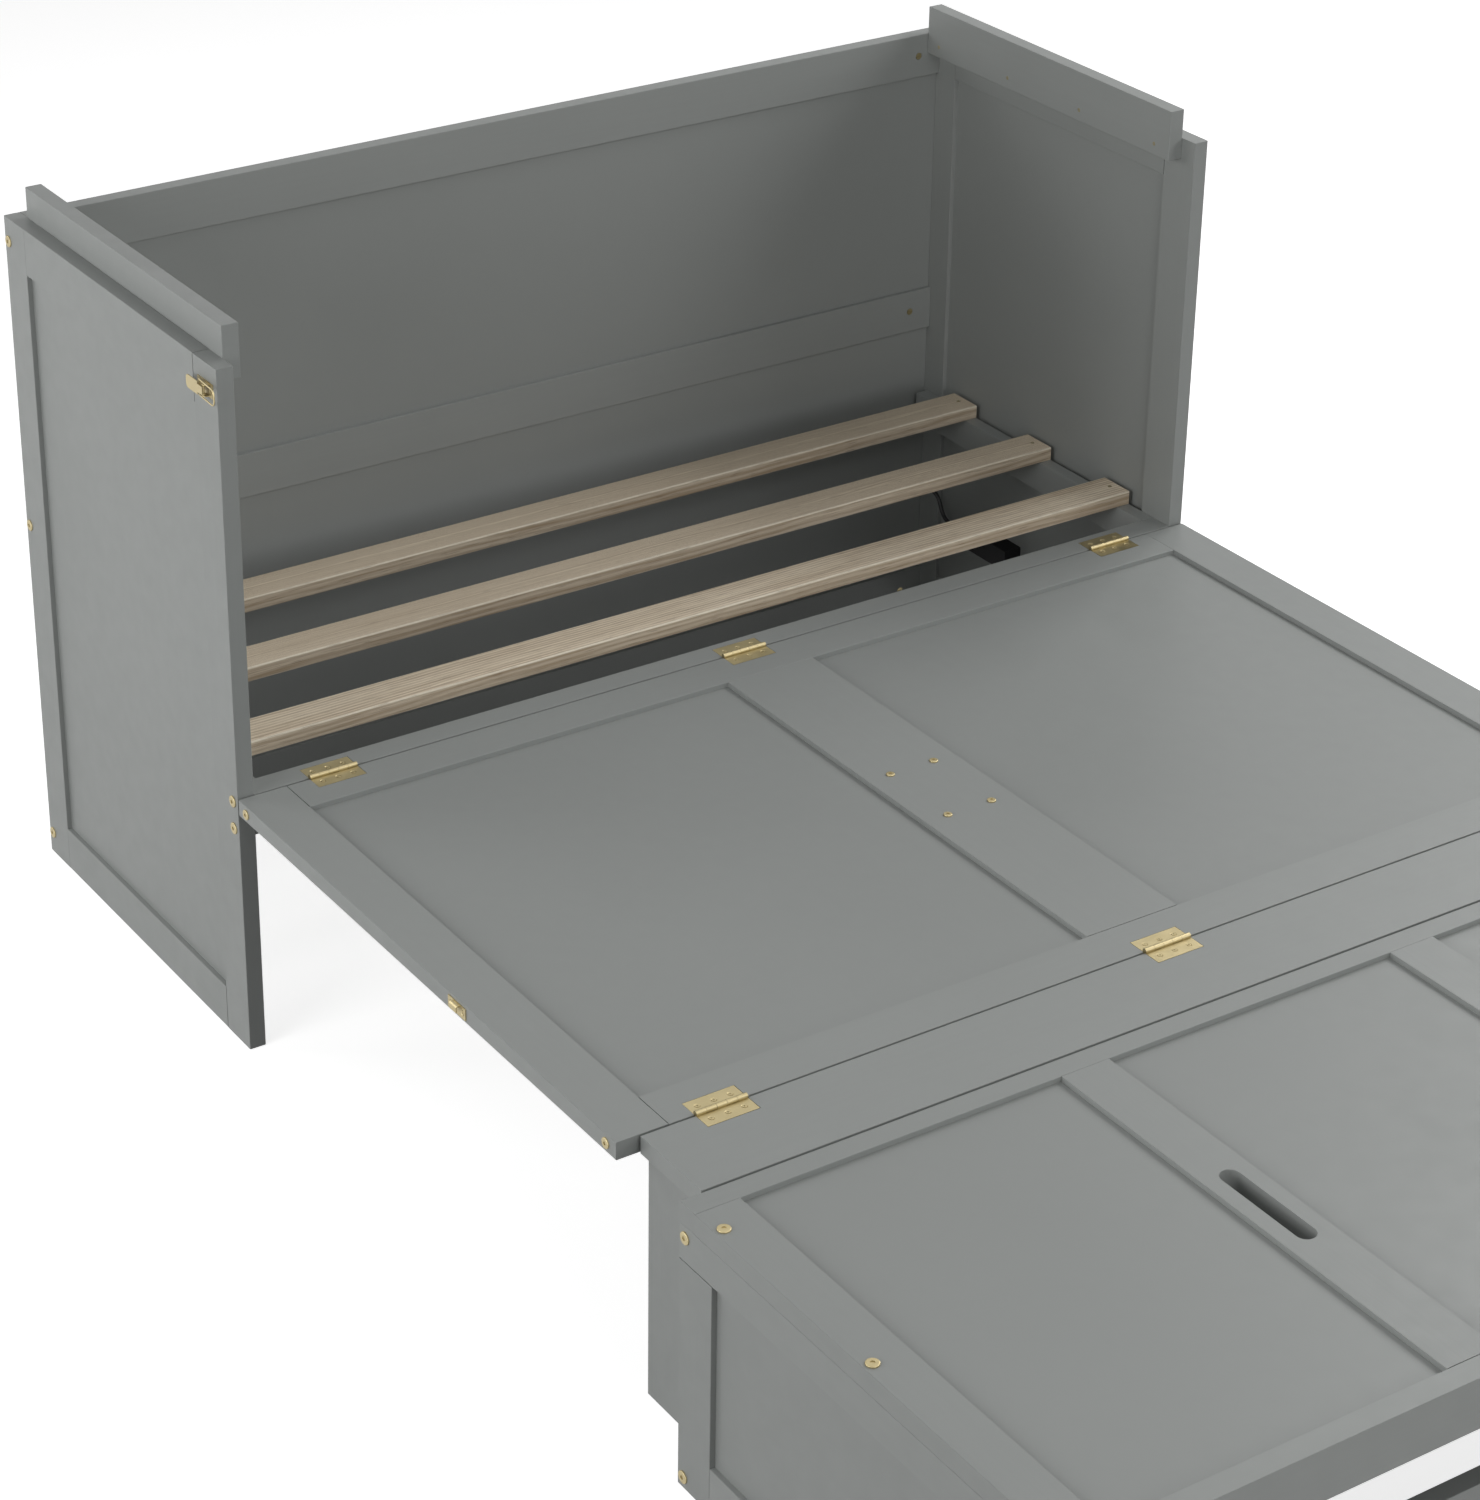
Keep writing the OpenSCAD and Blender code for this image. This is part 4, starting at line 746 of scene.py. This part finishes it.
def bolt_template(head, height, shank, length, nut=0.0):
    r, s = head / 2, shank / 2
    soft = height * 0.45
    angles = [i * math.pi / 12 for i in range(7)]
    rim = [(r - soft + soft * math.sin(a), height - soft + soft * math.cos(a)) for a in angles]
    outline = [(0, height)] + rim + [(r, 0), (s, 0), (s, -length), (0, -length)]
    solid = turned([(x, z - height) for x, z in outline])
    made = hollowed(solid, hexagon_recess(head * 0.32, 0, height * 0.45))
    if nut:
        block = bmesh.new()
        block.from_mesh(made.data)
        ring = turned([(s * 1.02, -nut), (nut_r, -nut), (nut_r, -nut - nut_h), (s * 1.02, -nut - nut_h)], 6)
        block.from_mesh(ring)
        block.to_mesh(made.data)
        block.free()
    return made


tree, put, begin = new_tree("fasteners", [("Places", "NodeSocketGeometry"), ("Fastener", "NodeSocketObject"),
                                          ("Turn Seed", "NodeSocketInt"), ("Size", "NodeSocketFloat"),
                                          ("Finish", "NodeSocketMaterial")])
facing = begin.node("GeometryNodeInputNamedAttribute", {"data_type": "FLOAT_VECTOR"}, {"Name": "facing"})
upright = begin.node("FunctionNodeAlignRotationToVector", {"axis": "Z"}, {"Vector": facing})
any_turn = begin.node("FunctionNodeRandomValue", {"data_type": "FLOAT"},
                      {2: 0.0, 3: 2 * math.pi, "Seed": put["Turn Seed"]}, out=1)
turn = begin.node("FunctionNodeAxisAngleToRotation", {}, {"Axis": (0.0, 0.0, 1.0), "Angle": any_turn})
driven = begin.node("FunctionNodeRotateRotation", {"rotation_space": "LOCAL"},
                    {"Rotation": upright, "Rotate By": turn})
template = begin.node("GeometryNodeObjectInfo", {}, {"Object": put["Fastener"], "As Instance": True},
                      out="Geometry")
placed = begin.node("GeometryNodeInstanceOnPoints", {}, {"Points": put["Places"], "Instance": template,
                                                         "Rotation": driven, "Scale": put["Size"]})
real = begin.node("GeometryNodeRealizeInstances", {}, {"Geometry": placed})
close_tree(tree, begin.node("GeometryNodeSetMaterial", {}, {"Geometry": real, "Material": put["Finish"]}))
fastener_tree = tree


def driven_home(name, body, node_names, make):
    """One piece for the fasteners of some CAD nodes. make(head, length) gives the template for each kind."""
    kinds = {}
    for node in node_names:
        for top, facing, head, length in heads(node):
            kinds.setdefault((round(head, 3), round(length, 3)), []).append((top, facing))
    joined = bmesh.new()
    for number, ((head, length), places) in enumerate(sorted(kinds.items())):
        points = bpy.data.meshes.new("places")
        points.from_pydata([p for p, _ in places], [], [])
        way = points.attributes.new("facing", "FLOAT_VECTOR", "POINT")
        way.data.foreach_set("vector", [c for _, f in places for c in f])
        template = make(head, length)
        made = grown(points, fastener_tree, {"Fastener": template, "Turn Seed": number + 3, "Size": 1.0,
                                             "Finish": brass.material})
        joined.from_mesh(made)
        bpy.data.objects.remove(template)
    piece = add_piece(name, finished(joined, name), brass, body)
    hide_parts(*node_names)


screw_shank, bolt_shank, bolt_head_h = 0.003, 0.006, 0.002


def wood_screws(head, length):
    return screw_template(head, screw_shank, length)


def connector_bolts(head, length):
    nut = nut_at if abs(head - nut_bolt_head) < 0.001 else 0.0
    return bolt_template(head, bolt_head_h, bolt_shank, length - bolt_head_h, nut)


driven_home("cabinet_wood_screws", "cabinet", ["cabinet_screws", "cleat_screws", "slat_screws"], wood_screws)
driven_home("cabinet_connector_bolts", "cabinet", ["cabinet_bolts"], connector_bolts)
driven_home("deck_wood_screws", "deck", ["deck_screws"], wood_screws)
driven_home("deck_connector_bolts", "deck", ["deck_bolts"], connector_bolts)
driven_home("foot_wood_screws", "foot_stand", ["foot_screws"], wood_screws)
driven_home("box_connector_bolts", "foot_box", ["box_bolts"], connector_bolts)

# Socket unit and grommet: moulded in black plastic with a fine spark texture. The unit snaps into the right
# side's panel from outside, with two outlets, and the grommet lines the cord's hole.
moulded = Finish("moulded_black", "black_plastic", Specular_IOR_Level=0.15)
spark = moulded.place.noise(2600, 2)
moulded.set(Base_Color=moulded.place.noise(25, 3).between(seen(17, 17, 18), seen(26, 26, 27)),
            Roughness=spark.eased(0.3, 0.7, 0.48, 0.62))
moulded.relief(spark, 0.00005)
dressed("outlet_unit", moulded, "socket_unit", crease=35)
dressed("cord_eyelet", moulded, "cord_grommet", crease=35)

# Plug: moulded in black plastic on the cord's end, with a tapered neck that keeps the cord from kinking.
# It lies on the floor behind the cabinet with the spare length.
plug = dressed("lead_plug", moulded, "power_plug", crease=40)

bpy.context.scene.view_settings.view_transform = "Standard"
